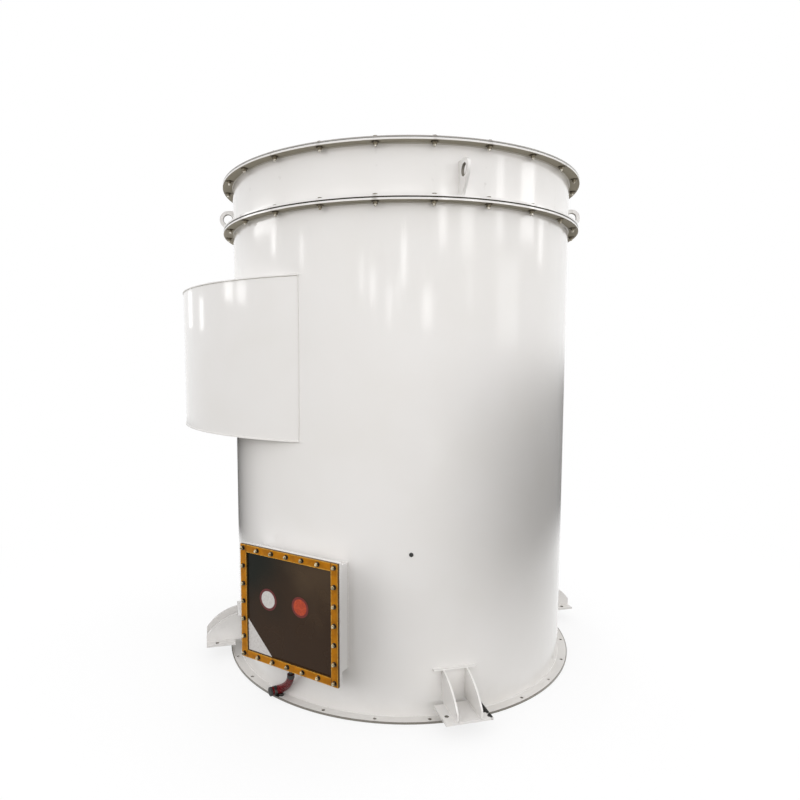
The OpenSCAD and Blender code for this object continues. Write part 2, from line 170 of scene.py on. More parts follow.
@dataclass
class Layout:
    """Sizes and places of the collector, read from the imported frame."""

    frame: dict
    nodes: dict[str, bpy.types.Object] = field(init=False)
    mounts: dict[str, Mount] = field(init=False)

    def __post_init__(self) -> None:
        """Takes the nodes and the mounts out of the frame."""
        self.nodes = self.frame["nodes"]
        self.mounts = {
            row["name"]: Mount(Vector(row["pos_m"]), row.get("dims", {}))
            for row in self.frame["record"]["mounts"]
        }

    @property
    def body_r(self) -> float:
        """Outside radius of the housing."""
        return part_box("plenum_shell")[1].x

    @property
    def flange_r(self) -> float:
        """Outside radius of the round flanges."""
        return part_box("base_flange")[1].x

    @property
    def bolt_r(self) -> float:
        """Radius of the flanges' bolt circle."""
        return self.mounts["base_bolts"].dims["pcd_mm"] * MM / 2

    @property
    def bolt_azimuths(self) -> list[float]:
        """Azimuths of the bolts in a round flange."""
        count = int(self.mounts["base_bolts"].dims["count"])
        return [(i + 0.5) * 360.0 / count for i in range(count)]

    def wall_point(self, across: float, height: float) -> Vector:
        """Gives the housing's surface, in turned axes, at a distance across from its nearest line."""
        return Vector((across, -math.sqrt(self.body_r**2 - across**2), height))

    def underside(self, node: str) -> float:
        """Height of a node's underside."""
        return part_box(node)[0].z

    def topside(self, node: str) -> float:
        """Height of a node's top."""
        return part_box(node)[1].z


# ---------------------------------------------------------------------------------------------
# Shader trees
# ---------------------------------------------------------------------------------------------


class Net:
    """A shader tree under construction."""

    def __init__(self, tree: bpy.types.NodeTree) -> None:
        """Takes the tree that gets the nodes."""
        self.tree = tree

    def feed(self, end: bpy.types.NodeSocket, value: object) -> None:
        """Links a wire to an input, or sets the input to a plain value.

        Args:
            end: The input.
            value: A wire, a number, a vector or a colour.
        """
        if isinstance(value, Wire):
            self.tree.links.new(value.socket, end)
        elif end.type == "RGBA":
            end.default_value = (*value, 1.0)
        else:
            end.default_value = value

    def node(self, kind: str, out: int | str = 0, **values: object) -> Wire:
        """Adds a node, sets it up and gives one of its outputs.

        Args:
            kind: The node's type, without the ShaderNode in front.
            out: The output to give, by number or name.
            **values: Properties by name, and inputs by name, with spaces written as underscores, or by
                number after an underscore.

        Returns:
            The output.
        """
        made = self.tree.nodes.new("ShaderNode" + kind)
        for name, value in values.items():
            if hasattr(made, name):
                setattr(made, name, value)
            else:
                key = int(name[1:]) if name[0] == "_" else name.replace("_", " ")
                self.feed(made.inputs[key], value)
        return Wire(self, made.outputs[out])

    def maths(self, operation: str, *terms: Wire | float) -> Wire:
        """Adds a Math node on wires and numbers and gives its result."""
        places = {f"_{place}": term for place, term in enumerate(terms)}
        return self.node("Math", operation=operation, **places)

    def noise(self, vector: Wire, scale: Wire | float, detail: float, roughness: float = 0.5) -> Wire:
        """Adds a noise texture and gives its value."""
        return self.node("TexNoise", Vector=vector, Scale=scale, Detail=detail, Roughness=roughness)

    def length(self, vector: Wire) -> Wire:
        """Gives the length of a vector."""
        return self.node("VectorMath", "Value", operation="LENGTH", _0=vector)

    def surface(self, share: Wire, first: Wire, second: Wire, output: str = "Material Output") -> None:
        """Feeds the tree's output from one shader where a share is 0 and from another where it is 1."""
        split = self.node("MixShader", _0=share, _1=first, _2=second)
        self.feed(self.tree.nodes[output].inputs["Surface"], split)


@dataclass(frozen=True)
class Tint:
    """A colour laid over another, at most to a share."""

    colour: Colour
    share: float = 1.0


@dataclass(frozen=True)
class Wire:
    """An output of a shader node. Arithmetic on it adds Math nodes, and | takes the larger value."""

    net: Net
    socket: bpy.types.NodeSocket

    def __getitem__(self, name: int | str) -> Wire:
        """Gives another output of the same node."""
        return Wire(self.net, self.socket.node.outputs[name])

    def __add__(self, other: Wire | float) -> Wire:
        """Adds a value."""
        return self.net.maths("ADD", self, other)

    def __sub__(self, other: Wire | float) -> Wire:
        """Takes a value away."""
        return self.net.maths("SUBTRACT", self, other)

    def __rsub__(self, other: float) -> Wire:
        """Takes this value away from a number."""
        return self.net.maths("SUBTRACT", other, self)

    def __mul__(self, other: Wire | float) -> Wire:
        """Multiplies by a value."""
        return self.net.maths("MULTIPLY", self, other)

    def __truediv__(self, other: Wire | float) -> Wire:
        """Divides by a value."""
        return self.net.maths("DIVIDE", self, other)

    def __pow__(self, power: float) -> Wire:
        """Raises to a power."""
        return self.net.maths("POWER", self, power)

    def __abs__(self) -> Wire:
        """Drops the sign."""
        return self.net.maths("ABSOLUTE", self)

    def __or__(self, other: Wire | float) -> Wire:
        """Gives the larger of two values, which joins two masks."""
        return self.net.maths("MAXIMUM", self, other)

    def __gt__(self, level: float) -> Wire:
        """Gives 1 where the value is over a level and 0 elsewhere."""
        return self.net.maths("GREATER_THAN", self, level)

    def __lt__(self, level: float) -> Wire:
        """Gives 1 where the value is under a level and 0 elsewhere."""
        return self.net.maths("LESS_THAN", self, level)

    def ramp(self, low: float, high: float) -> Wire:
        """Runs smoothly from 0 where the value is low to 1 where it is high."""
        return self.net.node(
            "MapRange", interpolation_type="SMOOTHSTEP", Value=self, From_Min=low, From_Max=high)

    def spread(self, low: Wire | float, high: Wire | float) -> Wire:
        """Runs evenly from low where this mask is 0 to high where it is 1."""
        return self.net.node("MapRange", Value=self, To_Min=low, To_Max=high)

    def blend(self, first: Wire | Colour, second: Wire | Colour) -> Wire:
        """Runs from a first colour where this mask is 0 to a second where it is 1."""
        # A Mix node names its sockets alike for every type of data: 6, 7 and 2 are those for colours.
        return self.net.node("Mix", 2, data_type="RGBA", _0=self, _6=first, _7=second)

    def lay(self, tint: Tint, under: Wire | Colour) -> Wire:
        """Lays a tint over a colour, to the tint's full share where this mask is 1."""
        return (self * tint.share).blend(under, tint.colour)


class Socket(Enum):
    """Kinds of socket that a shader group has."""

    VALUE = "NodeSocketFloat"
    VECTOR = "NodeSocketVector"


class ShaderGroup(Net):
    """A shader node group that is built once and placed in each material that needs it."""

    def __init__(self, name: str, outputs: Sequence[str], **inputs: float) -> None:
        """Opens the group with its Vector input, its numbers in and its numbers out.

        Args:
            name: Name of the group.
            outputs: Names of its outputs, in order.
            **inputs: Defaults of its further inputs, in order, with spaces written as underscores.
        """
        super().__init__(bpy.data.node_groups.new(name, "ShaderNodeTree"))
        self._port("Vector", "INPUT", Socket.VECTOR)
        for key, default in inputs.items():
            self._port(key.replace("_", " "), "INPUT").default_value = default
        for key in outputs:
            self._port(key, "OUTPUT")
        self.source = self.tree.nodes.new("NodeGroupInput")
        self.target = self.tree.nodes.new("NodeGroupOutput")

    def _port(self, name: str, way: str, kind: Socket = Socket.VALUE) -> bpy.types.NodeTreeInterfaceSocket:
        """Adds an input or an output."""
        return self.tree.interface.new_socket(name, in_out=way, socket_type=kind.value)

    def __getitem__(self, name: str) -> Wire:
        """Gives the wire that brings an input into the group."""
        return Wire(self, self.source.outputs[name])

    def give(self, **outputs: Wire) -> ShaderGroup:
        """Feeds the group's outputs.

        Args:
            **outputs: The wires, by the outputs' names.

        Returns:
            The group.
        """
        for name, value in outputs.items():
            self.feed(self.target.inputs[name], value)
        return self


class Effects:
    """The shader groups that several finishes share."""

    def __init__(self) -> None:
        """Builds every group."""
        self.waviness = self._waviness()
        self.smudges = self._smudges()
        self.foot_dust = self._foot_dust()
        self.grain = self._grain()
        self.bolt_grime_and_bore_shade = self._bolt_grime_and_bore_shade()
        self.spot = self._spot()

    @staticmethod
    def _waviness() -> ShaderGroup:
        """Long dents of rolled sheet with the fine ripple of sprayed paint on top.

        Returns:
            The group.
        """
        group = ShaderGroup("sheet_waviness", ["Height"], Dent_Scale=2.0, Peel_Scale=220.0, Peel_Share=0.02)
        tall = group.node("Mapping", Vector=group["Vector"], Scale=(1.0, 1.0, 0.35))
        dents = group.noise(tall, group["Dent Scale"], detail=1.5, roughness=0.4)
        peel = group.noise(group["Vector"], group["Peel Scale"], detail=1.0)
        return group.give(Height=dents + peel * group["Peel Share"])

    @staticmethod
    def _smudges() -> ShaderGroup:
        """Soft clouds of handling marks with a few long runs down the wall.

        Returns:
            The group.
        """
        group = ShaderGroup("smudges", ["Mask"], Scale=4.0, Runs=0.3)
        clouds = group.noise(group["Vector"], group["Scale"], detail=2.0)
        tall = group.node("Mapping", Vector=group["Vector"], Scale=(14.0, 14.0, 0.5))
        streaks = group.noise(tall, scale=1.6, detail=3.0).ramp(0.58, 0.72)
        return group.give(Mask=clouds.ramp(0.25, 0.85) | streaks * group["Runs"])

    @staticmethod
    def _foot_dust() -> ShaderGroup:
        """Dust that gathers towards the ground, thinning out upwards.

        Returns:
            The group.
        """
        group = ShaderGroup("foot_dust", ["Mask"], Reach=0.4, Scale=9.0)
        rise = group.node("SeparateXYZ", "Z", Vector=group["Vector"]) / group["Reach"]
        noise = group.noise(group["Vector"], group["Scale"], detail=5.0, roughness=0.65)
        return group.give(Mask=(1.0 - rise + (noise - 0.5)).ramp(0.2, 1.2))

    @staticmethod
    def _grain() -> ShaderGroup:
        """Even small grain, as of felt, rubber or cast metal.

        Returns:
            The group.
        """
        group = ShaderGroup("grain", ["Height", "Mask"], Scale=300.0)
        noise = group.noise(group["Vector"], group["Scale"], detail=3.0, roughness=0.7)
        return group.give(Height=noise, Mask=noise.ramp(0.35, 0.65))

    @staticmethod
    def _bolt_grime_and_bore_shade() -> ShaderGroup:
        """A ragged mask round every bolt of a circle about the vessel's axis, used for grime round the bolts
        and for painted shade in bolt holes.

        Returns:
            The group.
        """
        group = ShaderGroup("bolt_grime_and_bore_shade", ["Mask"], Count=24.0, Circle=0.9, Reach=0.02)
        axes = group.node("SeparateXYZ", Vector=group["Vector"])
        turn = group.maths("ARCTAN2", axes["Y"], axes["X"]) / math.tau
        share = group.maths("FRACT", turn * group["Count"])
        along = (share - 0.5) * math.tau / group["Count"] * group["Circle"]
        off = group.length(group.node("CombineXYZ", X=axes["X"], Y=axes["Y"])) - group["Circle"]
        near = group.maths("SQRT", along**2.0 + off**2.0)
        ragged = near / group["Reach"] + group.noise(group["Vector"], scale=26.0, detail=4.0)
        return group.give(Mask=1.0 - ragged.ramp(1.0, 1.6))

    @staticmethod
    def _spot() -> ShaderGroup:
        """One ragged spot about a point.

        Returns:
            The group.
        """
        group = ShaderGroup("spot", ["Mask"], Reach=0.03, Scale=40.0)
        noise = group.noise(group["Vector"], group["Scale"], detail=3.0)
        ragged = group.length(group["Vector"]) / group["Reach"] + noise
        return group.give(Mask=1.0 - ragged.ramp(1.15, 1.45))


# ---------------------------------------------------------------------------------------------
# Finishes
# ---------------------------------------------------------------------------------------------


class Finish(Net):
    """A material under construction: a Principled shader and what feeds it."""

    MATT = 0.75

    def __init__(self, name: str, **sockets: float) -> None:
        """Starts a material.

        Args:
            name: Name of the material.
            **sockets: Plain values for the shader's own sockets.
        """
        self.material = bpy.data.materials.new(name)
        self.material.use_nodes = True
        super().__init__(self.material.node_tree)
        self.set(**sockets)
        self.coords = self.node("TexCoord", "Object")

    def set(self, **sockets: Wire | float) -> None:
        """Sets or feeds the shader's own sockets, with spaces written as underscores."""
        for name, value in sockets.items():
            self.feed(self.tree.nodes["Principled BSDF"].inputs[name.replace("_", " ")], value)

    def place(self, group: ShaderGroup, vector: Wire | None = None, **values: float) -> Wire:
        """Puts a shader group in the material.

        Args:
            group: The group.
            vector: Coordinates for it, or the object's own when left out.
            **values: Its other inputs, with spaces written as underscores.

        Returns:
            The group's first output.
        """
        return self.node("Group", node_tree=group.tree, Vector=vector or self.coords, **values)

    def bump(self, height: Wire, distance: float) -> None:
        """Feeds the shader's normal from a height."""
        self.set(Normal=self.node("Bump", Strength=1.0, Distance=distance, Height=height))

    def facing(self, way: Sequence[float], low: float, high: float) -> Wire:
        """Gives a mask that is 1 on faces turned along a direction of the frame and 0 on the others.

        Args:
            way: The direction.
            low: The mask is 0 where the face's normal goes less than this far along it.
            high: The mask is 1 where the normal goes further than this.

        Returns:
            The mask.
        """
        normal = self.node("NewGeometry", "Normal")
        return self.node("VectorMath", "Value", operation="DOT_PRODUCT", _0=normal, _1=way).ramp(low, high)

    def radius(self) -> Wire:
        """Gives the distance from the vessel's axis."""
        flat = self.node("VectorMath", operation="MULTIPLY", _0=self.coords, _1=(1.0, 1.0, 0.0))
        return self.length(flat)

    def height(self) -> Wire:
        """Gives the height above the ground."""
        return self.node("SeparateXYZ", "Z", Vector=self.coords)

    def distance(self, point: Vector) -> Wire:
        """Gives the distance from a point."""
        return self.node("VectorMath", "Value", operation="DISTANCE", _0=self.coords, _1=point)

    def roughness(self, mask: Wire, low: float, high: float, matt: Wire | None = None) -> None:
        """Feeds the shader's roughness.

        Args:
            mask: A mask over the surface.
            low: Roughness where the mask is 0.
            high: Roughness where the mask is 1.
            matt: A mask of places that are dull whatever the first mask says.
        """
        rough = mask.spread(low, high)
        if matt:
            rough = rough | matt * self.MATT
        self.set(Roughness=rough)


@dataclass(frozen=True)
class EnamelPaint:
    """Glossy warm white enamel: dusty at the foot, grimed round bolts, painted shade underneath, in bores and
    on rims.
    """

    layout: Layout
    clean: Colour = (0.81, 0.792, 0.774)
    handled: Tint = Tint((0.745, 0.722, 0.680), 0.35)
    dust: Tint = Tint((0.50, 0.46, 0.39), 0.20)
    # Painted shade: the darker colour laid on faces turned down.
    underside_shade: Tint = Tint((0.33, 0.295, 0.215), 0.9)
    # Grime round the joints' bolts, and painted shade inside the foot's bolt holes.
    grime_and_bore_shade: Tint = Tint((0.13, 0.105, 0.065))
    # Dark rims of the flanges, part dirt and part painted shade, and painted shade inside the bracket and lug
    # bores.
    marks_and_painted_light: Tint = Tint((0.16, 0.145, 0.115))
    # Black of the blots on the front bracket, part stain and part painted shadow under the plate's edge.
    pitch: Tint = Tint((0.010, 0.009, 0.008))
    dust_reach: float = 0.16
    dent_depth: float = 0.006
    gloss: float = 0.12
    dull: float = 0.20
    coat: float = 0.6
    bolt_reach: float = 0.024
    bolt_share: float = 0.7
    bore_reach: float = 0.009
    bore_rim_mm: float = 0.6
    skin: float = 0.0005
    below_joints: float = 0.01
    # Width and share of the darkened outer rim at the foot and at the head: part dirt, part painted shade.
    foot_dark_rim: tuple[float, float] = (0.0045, 0.95)
    head_dark_rim: tuple[float, float] = (0.0012, 0.7)
    blot_azimuth: float = 15.0
    # Black blots along the front bracket plate's edge, part stain and part painted shadow: centre and reach
    # of each.
    dark_blots: tuple[tuple[Point, float], ...] = (
        ((0.100, -0.975, 0.076), 0.042),
        ((0.107, -1.020, 0.075), 0.030),
        ((0.108, -1.060, 0.074), 0.024),
    )

    def build(self, effects: Effects) -> Material:
        """Builds the material, with its black blots on the bracket at the front, part stain and part painted
        shadow along the plate's edge.

        Args:
            effects: The shared shader groups.

        Returns:
            The material.
        """
        finish = Finish("housing_enamel", IOR=1.52, Coat_Roughness=0.09)
        smudge = finish.place(effects.smudges, Scale=3.2, Runs=0.25)
        dust = finish.place(effects.foot_dust, Reach=self.dust_reach, Scale=11.0)
        # Faces turned down get the darker underside colour: painted shade.
        under = finish.facing(DOWN, 0.6, 0.95)
        colour = dust.lay(self.dust, smudge.lay(self.handled, self.clean))
        # Grime round the bolts, with painted shade in the foot's bolt holes.
        colour = self._seep_and_bore_shade(finish, effects).lay(self.grime_and_bore_shade, under.lay(self.underside_shade, colour))
        # Darkened rims and bores: part dirt, part painted shade.
        colour = self._edges(finish).lay(self.marks_and_painted_light, colour)
        for place, reach in self.dark_blots:
            centre = azimuth_matrix(self.blot_azimuth) @ Vector(place)
            moved = finish.node("VectorMath", operation="SUBTRACT", _0=finish.coords, _1=centre)
            blot = finish.place(effects.spot, moved, Reach=reach, Scale=45.0)
            colour = blot.lay(self.pitch, colour)
            under = under | blot
        finish.set(Base_Color=colour, Coat_Weight=(1.0 - under) * self.coat)
        finish.roughness(smudge | dust, self.gloss, self.dull, under)
        wave = finish.place(effects.waviness, Dent_Scale=1.7, Peel_Scale=260.0, Peel_Share=0.008)
        finish.bump(wave, distance=self.dent_depth)
        return finish.material

    def _seep_and_bore_shade(self, finish: Finish, effects: Effects) -> Wire:
        """Gives a mask for the grime round the bolts of the upper joints and for painted shade in the foot's
        bolt holes.

        Args:
            finish: The material.
            effects: The shared shader groups.

        Returns:
            The mask.
        """
        circle = {"Count": float(len(self.layout.bolt_azimuths)), "Circle": self.layout.bolt_r}
        bolts = finish.place(effects.bolt_grime_and_bore_shade, Reach=self.bolt_reach, **circle)
        bores = finish.place(effects.bolt_grime_and_bore_shade, Reach=self.bore_reach, **circle)
        height = finish.height()
        upper = height > self.layout.underside("body_top_flange") - self.below_joints
        foot = height < self.layout.topside("base_flange") + 2 * self.skin
        return bolts * upper * self.bolt_share | bores * foot

    def _edges(self, finish: Finish) -> Wire:
        """Gives a mask for the darkened rims at the foot and the head, part dirt and part painted shade, and
        for painted shade in the smaller bores.

        Args:
            finish: The material.

        Returns:
            The mask.
        """
        height, radius = finish.height(), finish.radius()
        foot = height < self.layout.topside("base_flange") + self.skin
        head = height > self.layout.underside("top_cover") - self.skin
        mask: Wire | float = 0.0
        for level, (wide, share) in ((foot, self.foot_dark_rim), (head, self.head_dark_rim)):
            mask = (radius > self.layout.flange_r - wide) * (level * share) | mask
        for name, mount in self.layout.mounts.items():
            if "_hole_" in name or name.endswith("_eye"):
                reach = math.hypot(mount.dims["r_mm"] + self.bore_rim_mm, mount.dims["length_mm"]) * MM
                mask = mask | (finish.distance(mount.centre) < reach)
        return mask


@dataclass(frozen=True)
class WeldPaint:
    """The same enamel over a weld bead, with the bead's ripples showing through and painted shade on its
    underside.
    """

    clean: Colour = (0.77, 0.75, 0.725)
    pores: Tint = Tint((0.62, 0.59, 0.54), 0.4)
    underside_shade: Tint = Tint((0.46, 0.43, 0.36), 0.9)

    def build(self, effects: Effects) -> Material:
        """Builds the material.

        Args:
            effects: The shared shader groups.

        Returns:
            The material.
        """
        finish = Finish("painted_weld", Roughness=0.3, Coat_Weight=0.25)
        grain = finish.place(effects.grain, Scale=160.0)
        colour = grain["Mask"].lay(self.pores, self.clean)
        # Faces turned down get the darker underside colour: painted shade.
        finish.set(Base_Color=finish.facing(DOWN, 0.1, 0.7).lay(self.underside_shade, colour))
        finish.bump(grain, distance=0.0006)
        return finish.material


@dataclass(frozen=True)
class OchrePaint:
    """Brushed ochre paint on flat bar: a painted highlight along the bar's edges, painted shade on its sides,
    dark at its joints.
    """

    azimuth: float
    frame: LocalBox
    rim: float
    base: Colour = (0.50, 0.185, 0.0015)
    shade: Colour = (0.36, 0.130, 0.001)
    # Painted highlight along the bars' edges.
    edge_highlight: Colour = (0.66, 0.36, 0.06)
    # Painted shade on the bars' sides, and the colour of the dark joints.
    shaded_side_and_joint: Colour = (0.11, 0.052, 0.012)
    joint: float = 0.003
    highlight_band: tuple[float, float] = (0.34, 0.48)

    def build(self, effects: Effects) -> Material:
        """Builds the material; the painted highlight runs between two shares of the bar's width from its
        middle.

        Args:
            effects: The shared shader groups.

        Returns:
            The material.
        """
        finish = Finish("clamp_ochre", Specular_IOR_Level=0.18)
        grain = finish.place(effects.grain, Scale=55.0)
        patches = finish.place(effects.grain, Scale=16.0)["Mask"]
        over_x, over_z = self._over(finish)
        off = abs(over_x | over_z)
        # Lighter along both edges of each bar: a painted highlight, broken up by the grain.
        edge = off.ramp(*(self.rim * share for share in self.highlight_band)) * grain.ramp(0.30, 0.60)
        colour = edge.blend(patches.blend(self.base, self.shade), self.edge_highlight)
        crack = abs(over_x + self.rim / 2) < self.joint / 2
        ends = over_z > -self.rim / 2
        colour = (crack * ends).blend(colour, self.shaded_side_and_joint)
        outward = azimuth_matrix(self.azimuth).to_3x3() @ Vector((0.0, -1.0, 0.0))
        # Faces not turned outwards get the dark side colour: painted shade.
        finish.set(Base_Color=finish.facing(outward, 0.5, 0.9).blend(self.shaded_side_and_joint, colour))
        finish.roughness(grain["Mask"], low=0.28, high=0.5)
        finish.bump(grain, distance=0.0012)
        return finish.material

    def _over(self, finish: Finish) -> tuple[Wire, Wire]:
        """Gives the distances past the middle lines of the upright and of the level bars.

        Args:
            finish: The material.

        Returns:
            Both distances.
        """
        turn = (0.0, 0.0, math.radians(self.azimuth))
        turned = finish.node("Mapping", vector_type="TEXTURE", Vector=finish.coords, Rotation=turn)
        axes = finish.node("SeparateXYZ", Vector=turned)
        over_x = abs(axes["X"]) - (self.frame.size.x - self.rim) / 2
        over_z = abs(axes["Z"] - self.frame.centre.z) - (self.frame.size.z - self.rim) / 2
        return over_x, over_z


@dataclass(frozen=True)
class ZincPlate:
    """Zinc-coated steel with its spangle, and painted shade on faces turned from a given lit direction."""

    name: str
    base: Colour = (0.66, 0.65, 0.62)
    shade: Colour = (0.54, 0.53, 0.50)
    spangle: float = 60.0
    gloss: float = 0.34
    dull: float = 0.48
    # A lit direction: faces turned from it get painted shade.
    lit_way: Point | None = None
    rim_r: float = 0.0
    # The dark colour of the painted shade and of the darkened rim.
    shade_and_rim_dark: Colour = (0.035, 0.028, 0.016)

    def build(self, effects: Effects) -> Material:
        """Builds the material; faces turned from the lit direction get painted shade, and what lies past
        rim_r is darkened.

        Args:
            effects: The shared shader groups.

        Returns:
            The material.
        """
        finish = Finish(self.name, Metallic=0.85)
        cells = finish.node("TexVoronoi", "Color", Vector=finish.coords, Scale=self.spangle)
        tone = finish.node("SeparateColor", Color=cells)
        colour = tone.blend(self.base, self.shade)
        if self.lit_way:
            # Painted shade on faces turned from the lit direction.
            colour = finish.facing(self.lit_way, 0.25, 0.85).blend(self.shade_and_rim_dark, colour)
        if self.rim_r:
            colour = (finish.radius() > self.rim_r).blend(colour, self.shade_and_rim_dark)
        finish.set(Base_Color=colour)
        finish.roughness(tone["Green"], self.gloss, self.dull)
        finish.bump(finish.place(effects.grain, Scale=400.0), distance=0.0003)
        return finish.material


@dataclass(frozen=True)
class BurstFilm:
    """Dark brown glossy bursting membrane, faintly quilted between its bolts, with painted shade and painted
    light across it.
    """

    left: Vector
    right: Vector
    span: float
    brown: Colour = (0.036, 0.0185, 0.0085)
    cool_shade: Colour = (0.007, 0.0085, 0.005)
    warm_light: Colour = (0.074, 0.046, 0.024)
    cool_reach: float = 0.85
    warm_reach: float = 0.75
    unevenness: float = 0.8

    def build(self, effects: Effects) -> Material:
        """Builds the material, darker and cool towards its upper left corner as painted shade, lighter and
        warm towards the upper right as painted light.

        Args:
            effects: The shared shader groups.

        Returns:
            The material.
        """
        finish = Finish("burst_film", IOR=1.45, Specular_IOR_Level=0.16)
        uneven = (finish.noise(finish.coords, scale=5.0, detail=3.0) - 0.5) * self.unevenness
        # Painted shade towards the upper left corner and painted light towards the upper right.
        cooler = (finish.distance(self.left) / self.span + uneven).ramp(0.1, self.cool_reach)
        warmer = (finish.distance(self.right) / self.span + uneven).ramp(0.1, self.warm_reach)
        finish.set(Base_Color=warmer.blend(self.warm_light, cooler.blend(self.cool_shade, self.brown)))
        finish.roughness(finish.place(effects.smudges, Scale=9.0, Runs=0.0), low=0.16, high=0.36)
        wave = finish.place(effects.waviness, Dent_Scale=6.0, Peel_Scale=300.0, Peel_Share=0.01)
        finish.bump(wave, distance=0.004)
        return finish.material


@dataclass(frozen=True)
class BlankVinyl:
    """A blank vinyl disc or patch, slightly soiled, with a darker ring towards its edge where it has one."""

    name: str
    base: Colour
    soiled: Colour
    centre: Vector
    ring: Colour | None = None
    ring_from: float = 0.0
    soiled_share: float = 0.6
    ring_blur: float = 0.001

    def build(self, effects: Effects) -> Material:
        """Builds the material.

        Args:
            effects: The shared shader groups.

        Returns:
            The material.
        """
        finish = Finish(self.name, Specular_IOR_Level=0.4)
        grain = finish.place(effects.grain, Scale=130.0)
        colour = grain["Mask"].lay(Tint(self.soiled, self.soiled_share), self.base)
        if self.ring:
            away = finish.distance(self.centre)
            ring = away.ramp(self.ring_from - self.ring_blur, self.ring_from + self.ring_blur)
            colour = ring.blend(colour, self.ring)
        finish.set(Base_Color=colour)
        finish.roughness(grain["Mask"], low=0.3, high=0.5)
        finish.bump(grain, distance=0.0002)
        return finish.material


@dataclass(frozen=True)
class WovenSleeve:
    """Dark red woven sleeve, glossy on its cords, black between them and in small patches, with painted
    glints as lighter specks.
    """

    cord: Colour = (0.32, 0.002, 0.008)
    gap: Colour = (0.012, 0.002, 0.002)
    # Lighter specks: painted glints.
    marks_and_painted_light: Colour = (0.45, 0.16, 0.14)

    def build(self, effects: Effects) -> Material:
        """Builds the material on the piece's own map: U round the sleeve, V along it, in weave cells.

        Args:
            effects: The shared shader groups.

        Returns:
            The material.
        """
        finish = Finish("woven_sleeve", Specular_IOR_Level=0.2)
        cells = finish.node("SeparateXYZ", Vector=finish.node("TexCoord", "UV"))
        rising, falling = cells["X"] + cells["Y"], cells["X"] - cells["Y"]
        one, other = (finish.maths("SINE", cord * math.pi) for cord in (rising, falling))
        weave = abs(one) * abs(other)
        grain = finish.place(effects.grain, Scale=90.0)
        colour = weave.ramp(0.20, 0.70).blend(self.gap, self.cord)
        colour = grain.ramp(0.60, 0.68).blend(colour, self.gap)
        # Lighter specks where the grain is highest: painted glints.
        finish.set(Base_Color=grain.ramp(0.71, 0.76).blend(colour, self.marks_and_painted_light))
        finish.roughness(grain["Mask"], low=0.12, high=0.34)
        finish.bump(weave, distance=0.0012)
        return finish.material


@dataclass(frozen=True)
class NeedleFelt:
    """Needled felt, with its fibres and a light cake of dust."""

    fibre: Colour = (0.74, 0.71, 0.64)
    caked: Tint = Tint((0.50, 0.47, 0.42), 0.7)

    def build(self, effects: Effects) -> Material:
        """Builds the material.

        Args:
            effects: The shared shader groups.

        Returns:
            The material.
        """
        finish = Finish("needle_felt", Roughness=0.95, Sheen_Weight=0.3, Sheen_Roughness=0.5)
        cake = finish.place(effects.smudges, Scale=7.0, Runs=0.6)
        finish.set(Base_Color=cake.lay(self.caked, self.fibre))
        finish.bump(finish.place(effects.grain, Scale=520.0), distance=0.002)
        return finish.material


@dataclass(frozen=True)
class SheetRubber:
    """Black sheet rubber, chalky where it is handled."""

    name: str = "sheet_rubber"
    base: Colour = (0.018, 0.018, 0.018)
    chalk: Tint = Tint((0.07, 0.068, 0.062), 0.5)

    def build(self, effects: Effects) -> Material:
        """Builds the material.

        Args:
            effects: The shared shader groups.

        Returns:
            The material.
        """
        finish = Finish(self.name, Roughness=0.7)
        grain = finish.place(effects.grain, Scale=240.0)
        finish.set(Base_Color=grain["Mask"].lay(self.chalk, self.base))
        finish.bump(grain, distance=0.0006)
        return finish.material


# ---------------------------------------------------------------------------------------------
# Mesh helpers
# ---------------------------------------------------------------------------------------------


def publish(name: str, bm: Mesh, material: Material,
            smooth_below: float = 35.0) -> bpy.types.Object:
    """Turns a finished bmesh into a piece that rides on the collector, and reports it.

    Args:
        name: Name of the piece.
        bm: Its shape, which is freed.
        material: Its material.
        smooth_below: Edges whose faces meet at less than this many degrees are shaded smooth.

    Returns:
        The piece.
    """
    for face in bm.faces:
        face.smooth = True
    limit = math.radians(smooth_below)
    for edge in bm.edges:
        edge.smooth = edge.is_manifold and edge.calc_face_angle(math.pi) < limit
    mesh = bpy.data.meshes.new(name)
    bm.to_mesh(mesh)
    bm.free()
    mesh.materials.append(material)
    piece = bpy.data.objects.new(name, mesh)
    bpy.context.scene.collection.objects.link(piece)
    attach(piece, BODY)
    LOG.info("built %s with %d faces", name, len(mesh.polygons))
    return piece


def once(items: Iterable[Item]) -> list[Item]:
    """Gives each item once, in the order that they come in."""
    return list(dict.fromkeys(items))


def ring_edges(ring: Sequence[Vertex]) -> list[bmesh.types.BMEdge]:
    """Gives the edges that join the vertices of one ring."""
    inside = set(ring)
    return once(e for v in ring for e in v.link_edges if e.other_vert(v) in inside)


